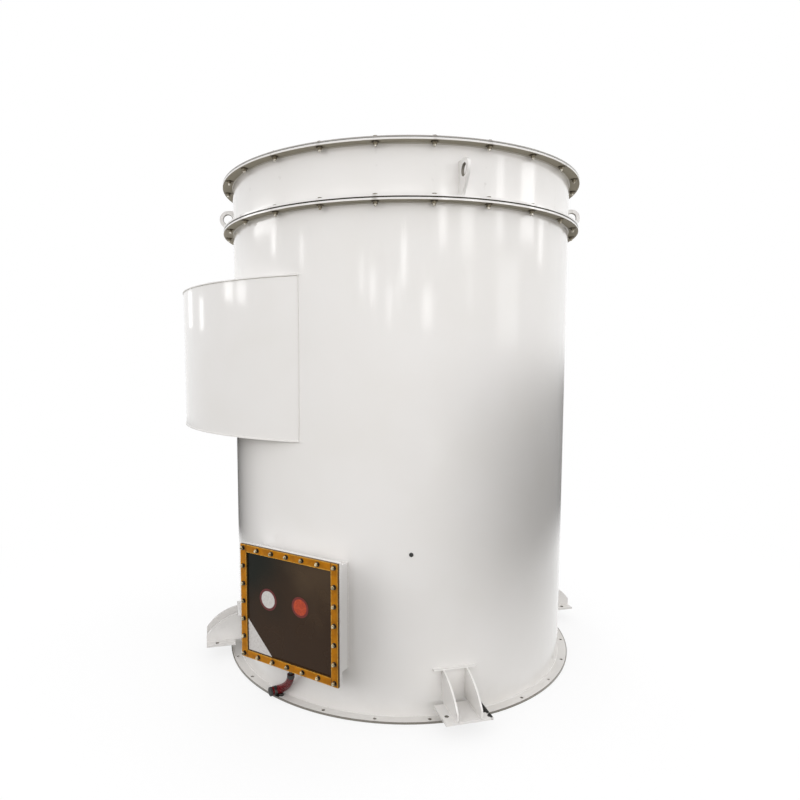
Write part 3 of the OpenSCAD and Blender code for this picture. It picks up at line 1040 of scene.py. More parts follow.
@dataclass(frozen=True)
class Disc:
    """An upright disc or prism, its upper edge bevelled. The radius goes out to the corners."""

    radius: float
    height: float
    base: float
    sides: int
    bevel: float = 0.0

    def placed(self, places: Iterable[Matrix]) -> Mesh:
        """Builds a copy of the disc at each place.

        Args:
            places: Where the copies go.

        Returns:
            A bmesh with all of them.
        """
        template = bmesh.new()
        self._add_to(template)
        mesh = bpy.data.meshes.new("template")
        template.to_mesh(mesh)
        template.free()
        bm = bmesh.new()
        for place in places:
            first = len(bm.verts)
            bm.from_mesh(mesh)
            bm.verts.ensure_lookup_table()
            bmesh.ops.transform(bm, matrix=place, verts=bm.verts[first:])
        bpy.data.meshes.remove(mesh)
        return bm

    def _add_to(self, bm: Mesh) -> None:
        """Adds the disc to a bmesh.

        Args:
            bm: The bmesh.
        """
        made = bmesh.ops.create_cone(
            bm, cap_ends=True, segments=self.sides, radius1=self.radius, radius2=self.radius,
            depth=self.height, matrix=Matrix.Translation((0.0, 0.0, self.base + self.height / 2)),
        )
        if self.bevel:
            top = self.base + self.height - HAIR
            rim = [v for v in made["verts"] if v.co.z > top]
            edges = ring_edges(rim)
            bmesh.ops.bevel(bm, geom=edges, offset=self.bevel, offset_type="OFFSET", affect="EDGES",
                            segments=2, profile=0.5, material=-1)


@dataclass
class Sweep:
    """A round bar drawn along a path, ring by ring."""

    path: Sequence[Vector]
    radii: Sequence[float]
    sides: int
    closed: bool = False
    map_cells: tuple[float, float] | None = None

    def add_to(self, bm: Mesh) -> None:
        """Adds the bar to a bmesh, with a map in weave cells where map_cells is given.

        Args:
            bm: The bmesh that gets it.
        """
        frames = self._frames()
        made = bmesh.ops.create_circle(bm, cap_ends=False, segments=self.sides, radius=1.0, matrix=frames[0])
        marks = {vertex: (0, k) for k, vertex in enumerate(made["verts"])}
        start = ring = ring_edges(made["verts"])
        for i in range(1, len(frames)):
            made = bmesh.ops.extrude_edge_only(bm, edges=ring)["geom"]
            verts = [item for item in made if isinstance(item, Vertex)]
            bmesh.ops.transform(bm, matrix=frames[i] @ frames[i - 1].inverted(), verts=verts)
            for vertex in verts:
                joined = [edge.other_vert(vertex) for edge in vertex.link_edges]
                before = next(other for other in joined if marks.get(other, (-1,))[0] == i - 1)
                marks[vertex] = (i, marks[before][1])
            ring = ring_edges(verts)
        if self.closed:
            bmesh.ops.bridge_loops(bm, edges=start + ring)
        else:
            bmesh.ops.contextual_create(bm, geom=start)
            bmesh.ops.contextual_create(bm, geom=ring)
        if self.map_cells:
            self._write_map(bm, marks)
        bmesh.ops.recalc_face_normals(bm, faces=once(f for v in marks for f in v.link_faces))

    def _frames(self) -> list[Matrix]:
        """Gives the place of every ring, carried along the path without a twist.

        Returns:
            A matrix for each point of the path.
        """
        count = len(self.path)
        frames = []
        turn, last = None, None
        for i, point in enumerate(self.path):
            ahead = self.path[(i + 1) % count] if self.closed or i + 1 < count else point
            back = self.path[i - 1] if self.closed or i else point
            along = (ahead - back).normalized()
            turn = last.rotation_difference(along) @ turn if turn else along.to_track_quat("Z", "Y")
            last = along
            size = Matrix.Diagonal((self.radii[i], self.radii[i], self.radii[i], 1.0))
            frames.append(Matrix.Translation(point) @ turn.to_matrix().to_4x4() @ size)
        return frames

    def _write_map(self, bm: Mesh, marks: dict[Vertex, tuple[int, int]]) -> None:
        """Writes the map: U in cells round the bar, V in cells along it.

        Args:
            bm: The bmesh.
            marks: The number of each vertex's ring, and its own number in that ring.
        """
        around, pitch = self.map_cells
        length = [0.0]
        for a, b in zip(self.path, self.path[1:]):
            length.append(length[-1] + (b - a).length)
        layer = bm.loops.layers.uv.verify()
        for face in once(f for v in marks for f in v.link_faces):
            steps = [marks[v][1] for v in face.verts]
            wraps = max(steps) - min(steps) > self.sides / 2
            for loop in face.loops:
                i, k = marks[loop.vert]
                k = k + self.sides if wraps and k < self.sides / 2 else k
                loop[layer].uv = (k / self.sides * around, length[i] / pitch)


def steps_between(start: Vector, end: Vector, pitch: float) -> list[Vector]:
    """Gives points from start to end, about a pitch apart."""
    count = max(2, round((end - start).length / pitch))
    return [start.lerp(end, i / count) for i in range(count + 1)]


def steps_round(low: Vector, high: Vector, pitch: float) -> list[Vector]:
    """Gives points round an upright rectangle, about a pitch apart.

    Args:
        low: Its lower left corner.
        high: Its upper right corner, at the same Y.
        pitch: Distance between the points.

    Returns:
        The points, counter-clockwise, without the first one again.
    """
    corners = (low, Vector((high.x, low.y, low.z)), high, Vector((low.x, low.y, high.z)), low)
    path = []
    for start, end in zip(corners, corners[1:]):
        path += steps_between(start, end, pitch)[:-1]
    return path


@dataclass(frozen=True)
class Bead:
    """A weld bead with its ripples."""

    size: float
    sides: int = 6
    ripple: float = 0.09
    ripple_turn: float = 2.1

    def along(self, bm: Mesh, path: Sequence[Vector], closed: bool = False) -> None:
        """Adds a bead along a path.

        Args:
            bm: The bmesh that gets it.
            path: Points along the bead, about as far apart as its ripples.
            closed: Whether the bead's end runs into its start.
        """
        radii = [self.size * (1.0 + self.ripple * math.sin(self.ripple_turn * i)) for i in range(len(path))]
        Sweep(path, radii, self.sides, closed).add_to(bm)

    def ring(self, bm: Mesh, radius: float, height: float, steps: int = 168) -> None:
        """Adds a full ring about the vessel's axis.

        Args:
            bm: The bmesh that gets it.
            radius: Radius of the ring.
            height: Height of the ring.
            steps: Number of steps round the ring.
        """
        place = Matrix.Translation((radius, 0.0, height)) @ TIP_FORWARD
        verts = bmesh.ops.create_circle(
            bm, cap_ends=False, segments=self.sides, radius=self.size, matrix=place)["verts"]
        bmesh.ops.spin(bm, geom=verts + ring_edges(verts), cent=(0, 0, 0), axis=(0, 0, 1), angle=math.tau,
                       steps=steps, use_merge=True)
        bmesh.ops.recalc_face_normals(bm, faces=bm.faces[:])


# ---------------------------------------------------------------------------------------------
# Fasteners
# ---------------------------------------------------------------------------------------------


class BoltPart(Enum):
    """The parts of a bolt that are pieces of their own."""

    NUT = "nuts"
    WASHER = "washers"
    END = "ends"


@dataclass(frozen=True)
class HexBolt:
    """A hexagon bolt with its washer. It stands on z = 0 and points upwards."""

    thread: float
    across_flats: float
    head: float
    washer_r: float
    washer_t: float
    tip: float = 0.0

    def _parts(self) -> dict[BoltPart, Disc]:
        """Gives the nut or head, the washer and, where it stands out, the thread's end.

        Returns:
            The disc of each part.
        """
        corner_r = self.across_flats / math.sqrt(3.0)
        top = self.washer_t + self.head
        nut = Disc(corner_r, self.head, base=self.washer_t, sides=6, bevel=self.head * 0.12)
        washer = Disc(self.washer_r, self.washer_t, base=0.0, sides=28, bevel=self.washer_t * 0.3)
        end = Disc(self.thread / 2, self.tip, base=top, sides=16, bevel=self.thread * 0.14)
        parts = {BoltPart.NUT: nut, BoltPart.WASHER: washer, BoltPart.END: end}
        return {part: disc for part, disc in parts.items() if disc.height}

    def build(self, name: str, places: list[Matrix], finish: dict[BoltPart, Material]) -> None:
        """Builds bolts of this kind as a piece of nuts, one of washers and one of thread ends.

        Args:
            name: Start of the pieces' names.
            places: Where the bolts stand.
            finish: The material of each part.
        """
        for part, disc in self._parts().items():
            publish(f"{name}_{part.value}", disc.placed(places), finish[part])


M12_NUT = HexBolt(thread=0.012, across_flats=0.019, head=0.010, washer_r=0.0155, washer_t=0.0025, tip=0.008)
M12_HEAD = HexBolt(thread=0.012, across_flats=0.019, head=0.0065, washer_r=0.0120, washer_t=0.0010)
M10_NUT = HexBolt(thread=0.010, across_flats=0.016, head=0.010, washer_r=0.0112, washer_t=0.002, tip=0.006)


@dataclass
class Fasteners:
    """The bolts of both upper joints, nuts below and heads on top."""

    layout: Layout
    turn_step: float = 23.0

    def build(self, finish: dict[BoltPart, Material]) -> None:
        """Builds the bolts.

        Args:
            finish: The material of each part of a bolt.
        """
        layout = self.layout
        for name, low, high in (
            ("joint_bolts", layout.underside("body_top_flange"), layout.topside("plenum_bottom_flange")),
            ("cover_bolts", layout.underside("plenum_top_flange"), layout.topside("top_cover")),
        ):
            M12_NUT.build(name + "_lower", self._places(low, hanging=True), finish)
            M12_HEAD.build(name + "_upper", self._places(high), finish)

    def _places(self, height: float, hanging: bool = False) -> list[Matrix]:
        """Gives the places round one flange, each bolt turned as its spanner left it.

        Args:
            height: Height of the flange's face.
            hanging: Whether they point down from that face.

        Returns:
            The places.
        """
        flip = Matrix.Rotation(math.pi, 4, "X") if hanging else Matrix()
        spins = [Matrix.Rotation(math.radians(self.turn_step * i), 4, "Z")
                 for i in range(len(self.layout.bolt_azimuths))]
        return [azimuth_matrix(azimuth, self.layout.bolt_r, height) @ spin @ flip
                for azimuth, spin in zip(self.layout.bolt_azimuths, spins)]


# ---------------------------------------------------------------------------------------------
# Vent
# ---------------------------------------------------------------------------------------------


@dataclass(frozen=True)
class BlankDisc:
    """A blank vinyl disc, placed from the middle of the vent's membrane."""

    name: str
    across: float
    up: float
    radius: float
    base: Colour
    soiled: Colour
    ring: Colour
    ring_share: float = 0.78


@dataclass
class Vent:
    """The explosion vent's place, its bolts, its neck's weld and its blank discs."""

    layout: Layout
    per_side: int = 7
    overhang: float = 0.004
    turn_steps: tuple[float, float] = (17.0, 41.0)
    bead: Bead = Bead(0.0045)
    pitch: float = 0.010
    patch_t: float = 0.0006
    white: Colour = (0.66, 0.64, 0.62)
    soiled: Colour = (0.50, 0.47, 0.45)
    discs: tuple[BlankDisc, ...] = (
        BlankDisc(
            "blank_disc_white", across=-0.118, up=0.032, radius=0.051,
            base=(0.66, 0.64, 0.62), soiled=(0.50, 0.47, 0.45), ring=(0.100, 0.007, 0.008),
        ),
        BlankDisc(
            "blank_disc_orange", across=0.069, up=0.036, radius=0.047,
            base=(0.50, 0.062, 0.014), soiled=(0.22, 0.018, 0.008), ring=(0.13, 0.010, 0.006),
        ),
    )
    triangle: tuple[float, float] = (0.143, 0.150)
    triangle_gap: float = 0.002
    azimuth: float = field(init=False)
    frame: LocalBox = field(init=False)
    film: LocalBox = field(init=False)
    neck: LocalBox = field(init=False)
    rim: float = field(init=False)

    def __post_init__(self) -> None:
        """Measures the vent on its clamp frame, its membrane and its neck."""
        nodes = self.layout.nodes
        self.azimuth = round(node_azimuth(nodes["vent_clamp_frame"]), 1)
        self.frame = local_box(nodes["vent_clamp_frame"], self.azimuth)
        self.film = local_box(nodes["vent_membrane"], self.azimuth)
        self.neck = local_box(nodes["vent_neck"], self.azimuth)
        self.rim = (self.frame.size.z - self.neck.size.z) / 2 + self.overhang

    @property
    def turn(self) -> Matrix:
        """The vent's own axes: X along the wall, -Y outwards."""
        return azimuth_matrix(self.azimuth)

    def on_film(self, across: float, up: float) -> Vector:
        """Gives a point of the membrane's face, from its middle, in the frame's axes."""
        return self.turn @ Vector((across, self.film.low.y, self.frame.centre.z + up))

    def build(self, finish: dict[BoltPart, Material], weld: Material, effects: Effects) -> None:
        """Builds the bolts, the weld and the blank discs.

        Args:
            finish: The material of each part of a bolt.
            weld: The weld's material.
            effects: The shared shader groups.
        """
        M10_NUT.build("vent_bolts", self._bolt_places(), finish)
        self._weld(weld)
        for disc in self.discs:
            self._disc(disc, effects)
        self._patch(effects)

    def _bolt_places(self) -> list[Matrix]:
        """Gives the place of every bolt of the clamp frame, each turned as its nut happened to stop.

        Returns:
            The places, on the frame's face.
        """
        wide = (self.frame.size.x - self.rim) / 2
        tall = (self.frame.size.z - self.rim) / 2
        last = self.per_side - 1
        places = []
        for i in range(self.per_side):
            for k in range(self.per_side):
                if i in (0, last) or k in (0, last):
                    across = Matrix.Translation(((2 * i / last - 1) * wide, 0.0, 0.0))
                    height = self.frame.centre.z + (2 * k / last - 1) * tall
                    angle = self.turn_steps[0] * i + self.turn_steps[1] * k
                    turn = Matrix.Rotation(math.radians(angle), 4, "Y")
                    wall = azimuth_matrix(self.azimuth, -self.frame.low.y, height)
                    places.append(wall @ across @ turn @ TIP_FORWARD)
        return places

    def _weld(self, weld: Material) -> None:
        """Builds the bead where the neck's four sides meet the round wall.

        Args:
            weld: The weld's material.
        """
        low, high = self.neck.low, self.neck.high
        outline = steps_round(Vector((low.x, 0.0, low.z)), Vector((high.x, 0.0, high.z)), self.pitch)
        bm = bmesh.new()
        self.bead.along(bm, [self.turn @ self.layout.wall_point(p.x, p.z) for p in outline], closed=True)
        publish("vent_neck_weld", bm, weld)

    def _disc(self, disc: BlankDisc, effects: Effects) -> None:
        """Builds a blank disc, half sunk in the membrane.

        Args:
            disc: The disc.
            effects: The shared shader groups.
        """
        centre = self.on_film(disc.across, disc.up)
        ring_from = disc.radius * disc.ring_share
        vinyl = BlankVinyl(disc.name, disc.base, disc.soiled, centre, disc.ring, ring_from)
        face = Matrix.Translation(centre) @ self.turn @ TIP_FORWARD
        bm = Disc(disc.radius, height=self.patch_t * 2, base=-self.patch_t, sides=48).placed([face])
        publish(disc.name, bm, vinyl.build(effects))

    def _patch(self, effects: Effects) -> None:
        """Builds the blank triangle in the membrane's lower left corner.

        Args:
            effects: The shared shader groups.
        """
        wide, tall = self.triangle
        inset = self.rim + self.triangle_gap
        left = self.frame.low.x + inset
        low = self.frame.low.z + inset - self.frame.centre.z
        corners = ((left, low), (left + wide, low), (left, low + tall))
        bm = bmesh.new()
        face = bm.faces.new([bm.verts.new(self.on_film(x, z)) for x, z in corners])
        raised = bmesh.ops.extrude_face_region(bm, geom=[face])["geom"]
        verts = [item for item in raised if isinstance(item, Vertex)]
        bmesh.ops.translate(bm, vec=self.turn.to_3x3() @ Vector((0.0, -self.patch_t, 0.0)), verts=verts)
        bmesh.ops.recalc_face_normals(bm, faces=bm.faces[:])
        vinyl = BlankVinyl("blank_patch", self.white, self.soiled, Vector())
        publish("blank_patch", bm, vinyl.build(effects))


# ---------------------------------------------------------------------------------------------
# Sensor conduit
# ---------------------------------------------------------------------------------------------


@dataclass
class Conduit:
    """The woven sleeve from the vent's gland to its clip on the bottom flange."""

    layout: Layout
    reach: float = 0.024
    stand_off: float = 0.035
    rest: float = 0.021
    straight: float = 0.034
    lean: float = 20.0
    top_r: float = 0.0160
    foot_r: float = 0.0200
    full_from: float = 1.3
    pull_down: float = 0.055
    pull_in: float = 0.034
    steps: int = 44
    pitch: float = 0.004
    band: float = 0.0009
    top_band: float = 0.09
    foot_band: float = 0.965
    clip_t: float = 0.002
    sides: int = 20
    weave: tuple[float, float] = (10.0, 0.010)

    def build(self, sleeve: Material, rubber: Material, screw: Material) -> None:
        """Builds the sleeve, its two shrunk ends and the clip's screw.

        Args:
            sleeve: The sleeve's material.
            rubber: The material of its ends.
            screw: The screw's material.
        """
        path = self._path()
        last = len(path) - 1
        radii = [self.top_r + (self.foot_r - self.top_r) * min(1.0, i / last * self.full_from)
                 for i in range(last + 1)]
        bm = bmesh.new()
        Sweep(path, radii, self.sides, map_cells=self.weave).add_to(bm)
        piece = publish("woven_sleeve", bm, sleeve)
        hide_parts("sensor_conduit")
        ends = bmesh.new()
        for part in (slice(0, round(last * self.top_band)), slice(round(last * self.foot_band), None)):
            Sweep(path[part], [r + self.band for r in radii[part]], self.sides).add_to(ends)
        publish("sleeve_ends", ends, rubber)
        clip_top = self.layout.topside("base_flange") + self.clip_t
        ear = azimuth_matrix(self._azimuth(), self.layout.bolt_r, clip_top)
        M12_HEAD.build("clip_screw", [ear], {part: screw for part in BoltPart})

    def _azimuth(self) -> float:
        """Gives the azimuth of the bottom flange's bolt hole that holds the clip."""
        about = node_azimuth(self.layout.nodes["conduit_clip"]) % 360.0
        return min(self.layout.bolt_azimuths, key=lambda azimuth: abs(azimuth - about))

    def _path(self) -> list[Vector]:
        """Gives points along the sleeve's middle line, from the gland to its cut end.

        Returns:
            The points.
        """
        low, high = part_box("conduit_gland")
        start = Vector(((low.x + high.x) / 2, (low.y + high.y) / 2, low.z))
        turn = azimuth_matrix(self._azimuth())
        lean = math.radians(self.lean)
        way = turn.to_3x3() @ Vector((-math.sin(lean), -math.cos(lean), 0.0))
        rest = self.layout.topside("base_flange") + self.rest
        bend_end = turn @ Vector((-self.reach, -self.layout.body_r - self.stand_off, rest))
        pulls = (start, start - Vector((0.0, 0.0, self.pull_down)), bend_end - way * self.pull_in, bend_end)
        path = []
        for i in range(self.steps + 1):
            u = i / self.steps
            shares = ((1 - u) ** 3, 3 * (1 - u) ** 2 * u, 3 * (1 - u) * u**2, u**3)
            path.append(sum((pull * share for pull, share in zip(pulls, shares)), Vector()))
        return path + steps_between(bend_end, bend_end + way * self.straight, self.pitch)[1:]


# ---------------------------------------------------------------------------------------------
# Welds
# ---------------------------------------------------------------------------------------------


@dataclass
class Welds:
    """The painted weld beads of the housing, the inlet, the brackets, the lugs and the cover."""

    layout: Layout
    paint: Material
    bead: Bead = Bead(0.0035)
    edge_bead: Bead = Bead(0.0028)
    pitch: float = 0.009
    scroll_end: float = -90.0
    slack: float = 1e-4
    bracket_count: int = 4
    lug_count: int = 4
    outlet_steps: int = 96
    rib_count: int = 8
    rib_half: float = 0.003
    stitch: float = 0.045
    stitch_step: float = 0.125
    stitch_from: float = 0.01

    def build(self) -> None:
        """Builds every group of beads."""
        for name, group in (
            ("housing_welds", self._housing),
            ("inlet_welds", self._inlet),
            ("bracket_welds", self._brackets),
            ("lug_welds", self._lugs),
            ("cover_welds", self._cover),
        ):
            bm = bmesh.new()
            group(bm)
            publish(name, bm, self.paint, smooth_below=75.0)

    def _line(self, bm: Mesh, turn: Matrix, start: Vector, end: Vector) -> None:
        """Adds a straight bead between two points of turned axes."""
        self.bead.along(bm, [turn @ point for point in steps_between(start, end, self.pitch)])

    def _upright(self, bm: Mesh, azimuth: float, across: float, box: LocalBox) -> None:
        """Adds a bead up the wall, as high as a box."""
        foot, head = (self.layout.wall_point(across, height) for height in (box.low.z, box.high.z))
        self._line(bm, azimuth_matrix(azimuth), foot, head)

    def _housing(self, bm: Mesh) -> None:
        """Adds the rings where the round walls meet their flanges.

        Args:
            bm: The bmesh that gets them.
        """
        layout = self.layout
        for height in (layout.topside("base_flange"), layout.underside("body_top_flange"),
                       layout.topside("plenum_bottom_flange"), layout.underside("plenum_top_flange")):
            self.bead.ring(bm, layout.body_r, height)

    def _inlet(self, bm: Mesh) -> None:
        """Adds the beads round the scroll, on the housing, along its own edges and at its flange.

        Args:
            bm: The bmesh that gets them.
        """
        layout = self.layout
        seam = min((v.co for v in layout.nodes["inlet_scroll_wall"].data.vertices), key=lambda p: p.y)
        floor_low, roof_top = layout.underside("inlet_floor"), layout.topside("inlet_roof")
        floor_top, roof_low = layout.topside("inlet_floor"), layout.underside("inlet_roof")
        azimuth = math.degrees(math.atan2(seam.x, -seam.y))
        turn = self.scroll_end - azimuth
        count = round(math.radians(-turn) * layout.body_r / self.pitch)
        for height in (floor_low, roof_top):
            wall = Vector((0.0, -layout.body_r, height))
            self.bead.along(bm, [azimuth_matrix(azimuth + turn * i / count) @ wall for i in range(count + 1)])
        self._line(bm, Matrix(), Vector((seam.x, seam.y, floor_top)), Vector((seam.x, seam.y, roof_low)))
        for height in (floor_top, roof_low):
            self.edge_bead.along(bm, self._scroll_line(seam, height))
        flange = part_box("inlet_flange")[0].y
        left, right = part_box("inlet_roof")[0].x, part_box("inlet_inner_wall")[1].x
        low, high = Vector((left, flange, floor_low)), Vector((right, flange, roof_top))
        self.bead.along(bm, steps_round(low, high, self.pitch), closed=True)

    def _scroll_line(self, seam: Vector, height: float) -> list[Vector]:
        """Gives the scroll wall's outer line at a height.

        Args:
            seam: Where the scroll's wall meets the housing.
            height: The height.

        Returns:
            Points from the seam to the duct's flange, two pitches apart.
        """
        wall = self.layout.nodes["inlet_scroll_wall"].data.vertices
        left = min(v.co.x for v in wall)
        back = min(v.co.y for v in wall if v.co.x < left + self.slack)
        out, deep = seam.x - left, back - seam.y
        radius = (out**2 + deep**2) / (2 * out)
        middle = Vector((left + radius, back, height))
        start = math.atan2(seam.y - back, seam.x - middle.x) % math.tau
        count = round((start - math.pi) * radius / (2 * self.pitch))
        angles = [start + (math.pi - start) * i / count for i in range(count + 1)]
        arc = [middle + radius * Vector((math.cos(angle), math.sin(angle), 0.0)) for angle in angles]
        end = Vector((left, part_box("inlet_flange")[0].y, height))
        return arc + steps_between(arc[-1], end, 2 * self.pitch)[1:]

    def _brackets(self, bm: Mesh) -> None:
        """Adds the beads of the four support brackets: gussets on wall and plate, cap on wall.

        Args:
            bm: The bmesh that gets them.
        """
        for i in range(1, self.bracket_count + 1):
            gussets = self.layout.nodes[f"bracket_gussets_{i}"]
            azimuth = round(node_azimuth(gussets))
            turn = azimuth_matrix(azimuth)
            box = local_box(gussets, azimuth)
            plate = local_box(self.layout.nodes[f"bracket_plate_{i}"], azimuth)
            cap = local_box(self.layout.nodes[f"bracket_cap_{i}"], azimuth)
            inner = min(abs((turn.inverted() @ v.co).x) for v in gussets.data.vertices)
            for x in (box.high.x, inner, -inner, box.low.x):
                self._upright(bm, azimuth, x, box)
                back, front = Vector((x, plate.high.y, box.low.z)), Vector((x, plate.low.y, box.low.z))
                self._line(bm, turn, back, front)
            left, right = (Vector((x, 0.0, cap.high.z)) for x in (cap.low.x, cap.high.x))
            top = [self.layout.wall_point(p.x, p.z) for p in steps_between(left, right, self.pitch)]
            self.bead.along(bm, [turn @ point for point in top])

    def _lugs(self, bm: Mesh) -> None:
        """Adds the beads on both sides of the four lifting lugs.

        Args:
            bm: The bmesh that gets them.
        """
        for i in range(1, self.lug_count + 1):
            lug = self.layout.nodes[f"lifting_lug_{i}"]
            azimuth = round(node_azimuth(lug))
            box = local_box(lug, azimuth)
            for x in (box.low.x, box.high.x):
                self._upright(bm, azimuth, x, box)

    def _cover(self, bm: Mesh) -> None:
        """Adds the rings of the outlet and the stitches along both sides of the cover's ribs.

        Args:
            bm: The bmesh that gets them.
        """
        top = self.layout.topside("top_cover")
        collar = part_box("outlet_collar")[1].x
        for height in (top, self.layout.underside("outlet_flange")):
            self.bead.ring(bm, collar, height, self.outlet_steps)
        spans = [math.hypot(v.co.x, v.co.y) for v in self.layout.nodes["cover_ribs"].data.vertices]
        for i in range(self.rib_count):
            turn = azimuth_matrix((i + 0.5) * 360.0 / self.rib_count)
            start = min(spans) + self.stitch_from
            while start + self.stitch < max(spans):
                for x in (-self.rib_half, self.rib_half):
                    self._line(bm, turn, Vector((x, -start, top)), Vector((x, -start - self.stitch, top)))
                start += self.stitch_step


@dataclass(frozen=True)
class WallPlug:
    """The small rubber plug in the front of the wall."""

    azimuth: float = 2.3
    height: float = 0.742
    disc: Disc = Disc(radius=0.0095, height=0.005, base=-0.0015, sides=24, bevel=0.0012)

    def build(self, layout: Layout, rubber: Material) -> None:
        """Builds the plug."""
        place = azimuth_matrix(self.azimuth, layout.body_r, self.height) @ TIP_FORWARD
        publish("wall_plug", self.disc.placed([place]), rubber)


# ---------------------------------------------------------------------------------------------
# Camera, light and floor
# ---------------------------------------------------------------------------------------------


@dataclass(frozen=True)
class Viewpoint:
    """The camera, standing before the collector at a person's eye height."""

    place: Point = (-0.0932, -3.5608, 1.597)
    down: float = 4.82
    left: float = 1.1
    lens: float = 28.2
    shift: tuple[float, float] = (0.0379, 0.0126)

    def build(self) -> None:
        """Builds the camera and makes it the scene's own."""
        data = bpy.data.cameras.new("view")
        data.lens = self.lens
        data.sensor_width = 36.0
        data.shift_x, data.shift_y = self.shift
        data.clip_end = 200.0
        camera = bpy.data.objects.new("view", data)
        camera.location = self.place
        camera.rotation_euler = (math.radians(90.0 - self.down), 0.0, math.radians(self.left))
        bpy.context.scene.collection.objects.link(camera)
        bpy.context.scene.camera = camera


@dataclass(frozen=True)
class Softbox:
    """A rectangular lamp that looks at a point."""

    name: str
    place: Point
    aim: Point
    size: tuple[float, float]
    power: float
    in_gloss: bool = False

    def build(self) -> None:
        """Builds the lamp, out of the camera's sight."""
        data = bpy.data.lights.new(self.name, "AREA")
        data.shape = "RECTANGLE"
        data.size, data.size_y = self.size
        data.energy = self.power
        lamp = bpy.data.objects.new(self.name, data)
        lamp.location = self.place
        lamp.rotation_euler = (Vector(self.aim) - Vector(self.place)).to_track_quat("-Z", "Y").to_euler()
        lamp.visible_camera = False
        lamp.visible_glossy = self.in_gloss
        bpy.context.scene.collection.objects.link(lamp)


@dataclass(frozen=True)
class WindowStrip:
    """A tall narrow lamp, like a lit window, at an azimuth about the collector."""

    azimuth: float
    wide: float
    low: float
    high: float
    radiance: float
    distance: float = 3.5

    def softbox(self, number: int) -> Softbox:
        """Gives the lamp; its power follows from its radiance and its area.

        Args:
            number: The window's number, which ends the lamp's name.

        Returns:
            The lamp.
        """
        middle = (self.low + self.high) / 2
        place = azimuth_matrix(self.azimuth, self.distance, middle).translation
        tall = self.high - self.low
        power = self.radiance * math.pi * self.wide * tall
        return Softbox(f"window_{number}", tuple(place), (0.0, 0.0, middle), (self.wide, tall), power, True)


def bare_material(name: str) -> tuple[Material, Net]:
    """Starts a material without its Principled shader.

    Args:
        name: Name of the material.

    Returns:
        The material and its tree.
    """
    material = bpy.data.materials.new(name)
    material.use_nodes = True
    net = Net(material.node_tree)
    net.tree.nodes.remove(net.tree.nodes["Principled BSDF"])
    return material, net


def stage_mesh(name: str, bm: Mesh, material: Material) -> bpy.types.Object:
    """Turns a finished bmesh into a part of the surroundings.

    Args:
        name: Its name.
        bm: Its shape, which is freed.
        material: Its material.

    Returns:
        The object.
    """
    mesh = bpy.data.meshes.new(name)
    bm.to_mesh(mesh)
    bm.free()
    mesh.materials.append(material)
    made = bpy.data.objects.new(name, mesh)
    bpy.context.scene.collection.objects.link(made)
    return made


@dataclass(frozen=True)
class Flag:
    """A curved dark cloth beside the collector that keeps light off it.

    azimuths and heights each say where the cloth begins, is full, begins to fade and ends.
    """

    name: str
    azimuths: tuple[float, float, float, float]
    heights: tuple[float, float, float, float]
    distance: float
    shade: float
    cover: float
    gloss_only: bool = False
    steps: int = 24

    def build(self) -> None:
        """Builds the cloth, out of the camera's sight."""
        bm = bmesh.new()
        bm.edges.new([bm.verts.new(azimuth_matrix(self.azimuths[0], self.distance, height).translation)
                      for height in (self.heights[0], self.heights[-1])])
        bmesh.ops.spin(bm, geom=bm.verts[:] + bm.edges[:], cent=(0, 0, 0), axis=(0, 0, 1), steps=self.steps,
                       angle=math.radians(self.azimuths[-1] - self.azimuths[0]))
        flag = stage_mesh(self.name, bm, self._cloth())
        flag.visible_camera = False
        flag.visible_diffuse = flag.visible_shadow = not self.gloss_only

    def _cloth(self) -> Material:
        """Builds the cloth's material, clear at its edges.

        Returns:
            The material.
        """
        material, net = bare_material(self.name)
        axes = net.node("SeparateXYZ", Vector=net.node("TexCoord", "Object"))
        turn = net.maths("DEGREES", net.maths("ARCTAN2", axes, axes["Y"] * -1.0))
        cover: Wire | float = self.cover
        for value, (first, full, fading, last) in ((turn, self.azimuths), (axes["Z"], self.heights)):
            cover = value.ramp(first, full) * cover * (1.0 - value.ramp(fading, last))
        dark = net.node("BsdfDiffuse", Color=(self.shade,) * 3)
        net.surface(cover, net.node("BsdfTransparent"), dark)
        return material


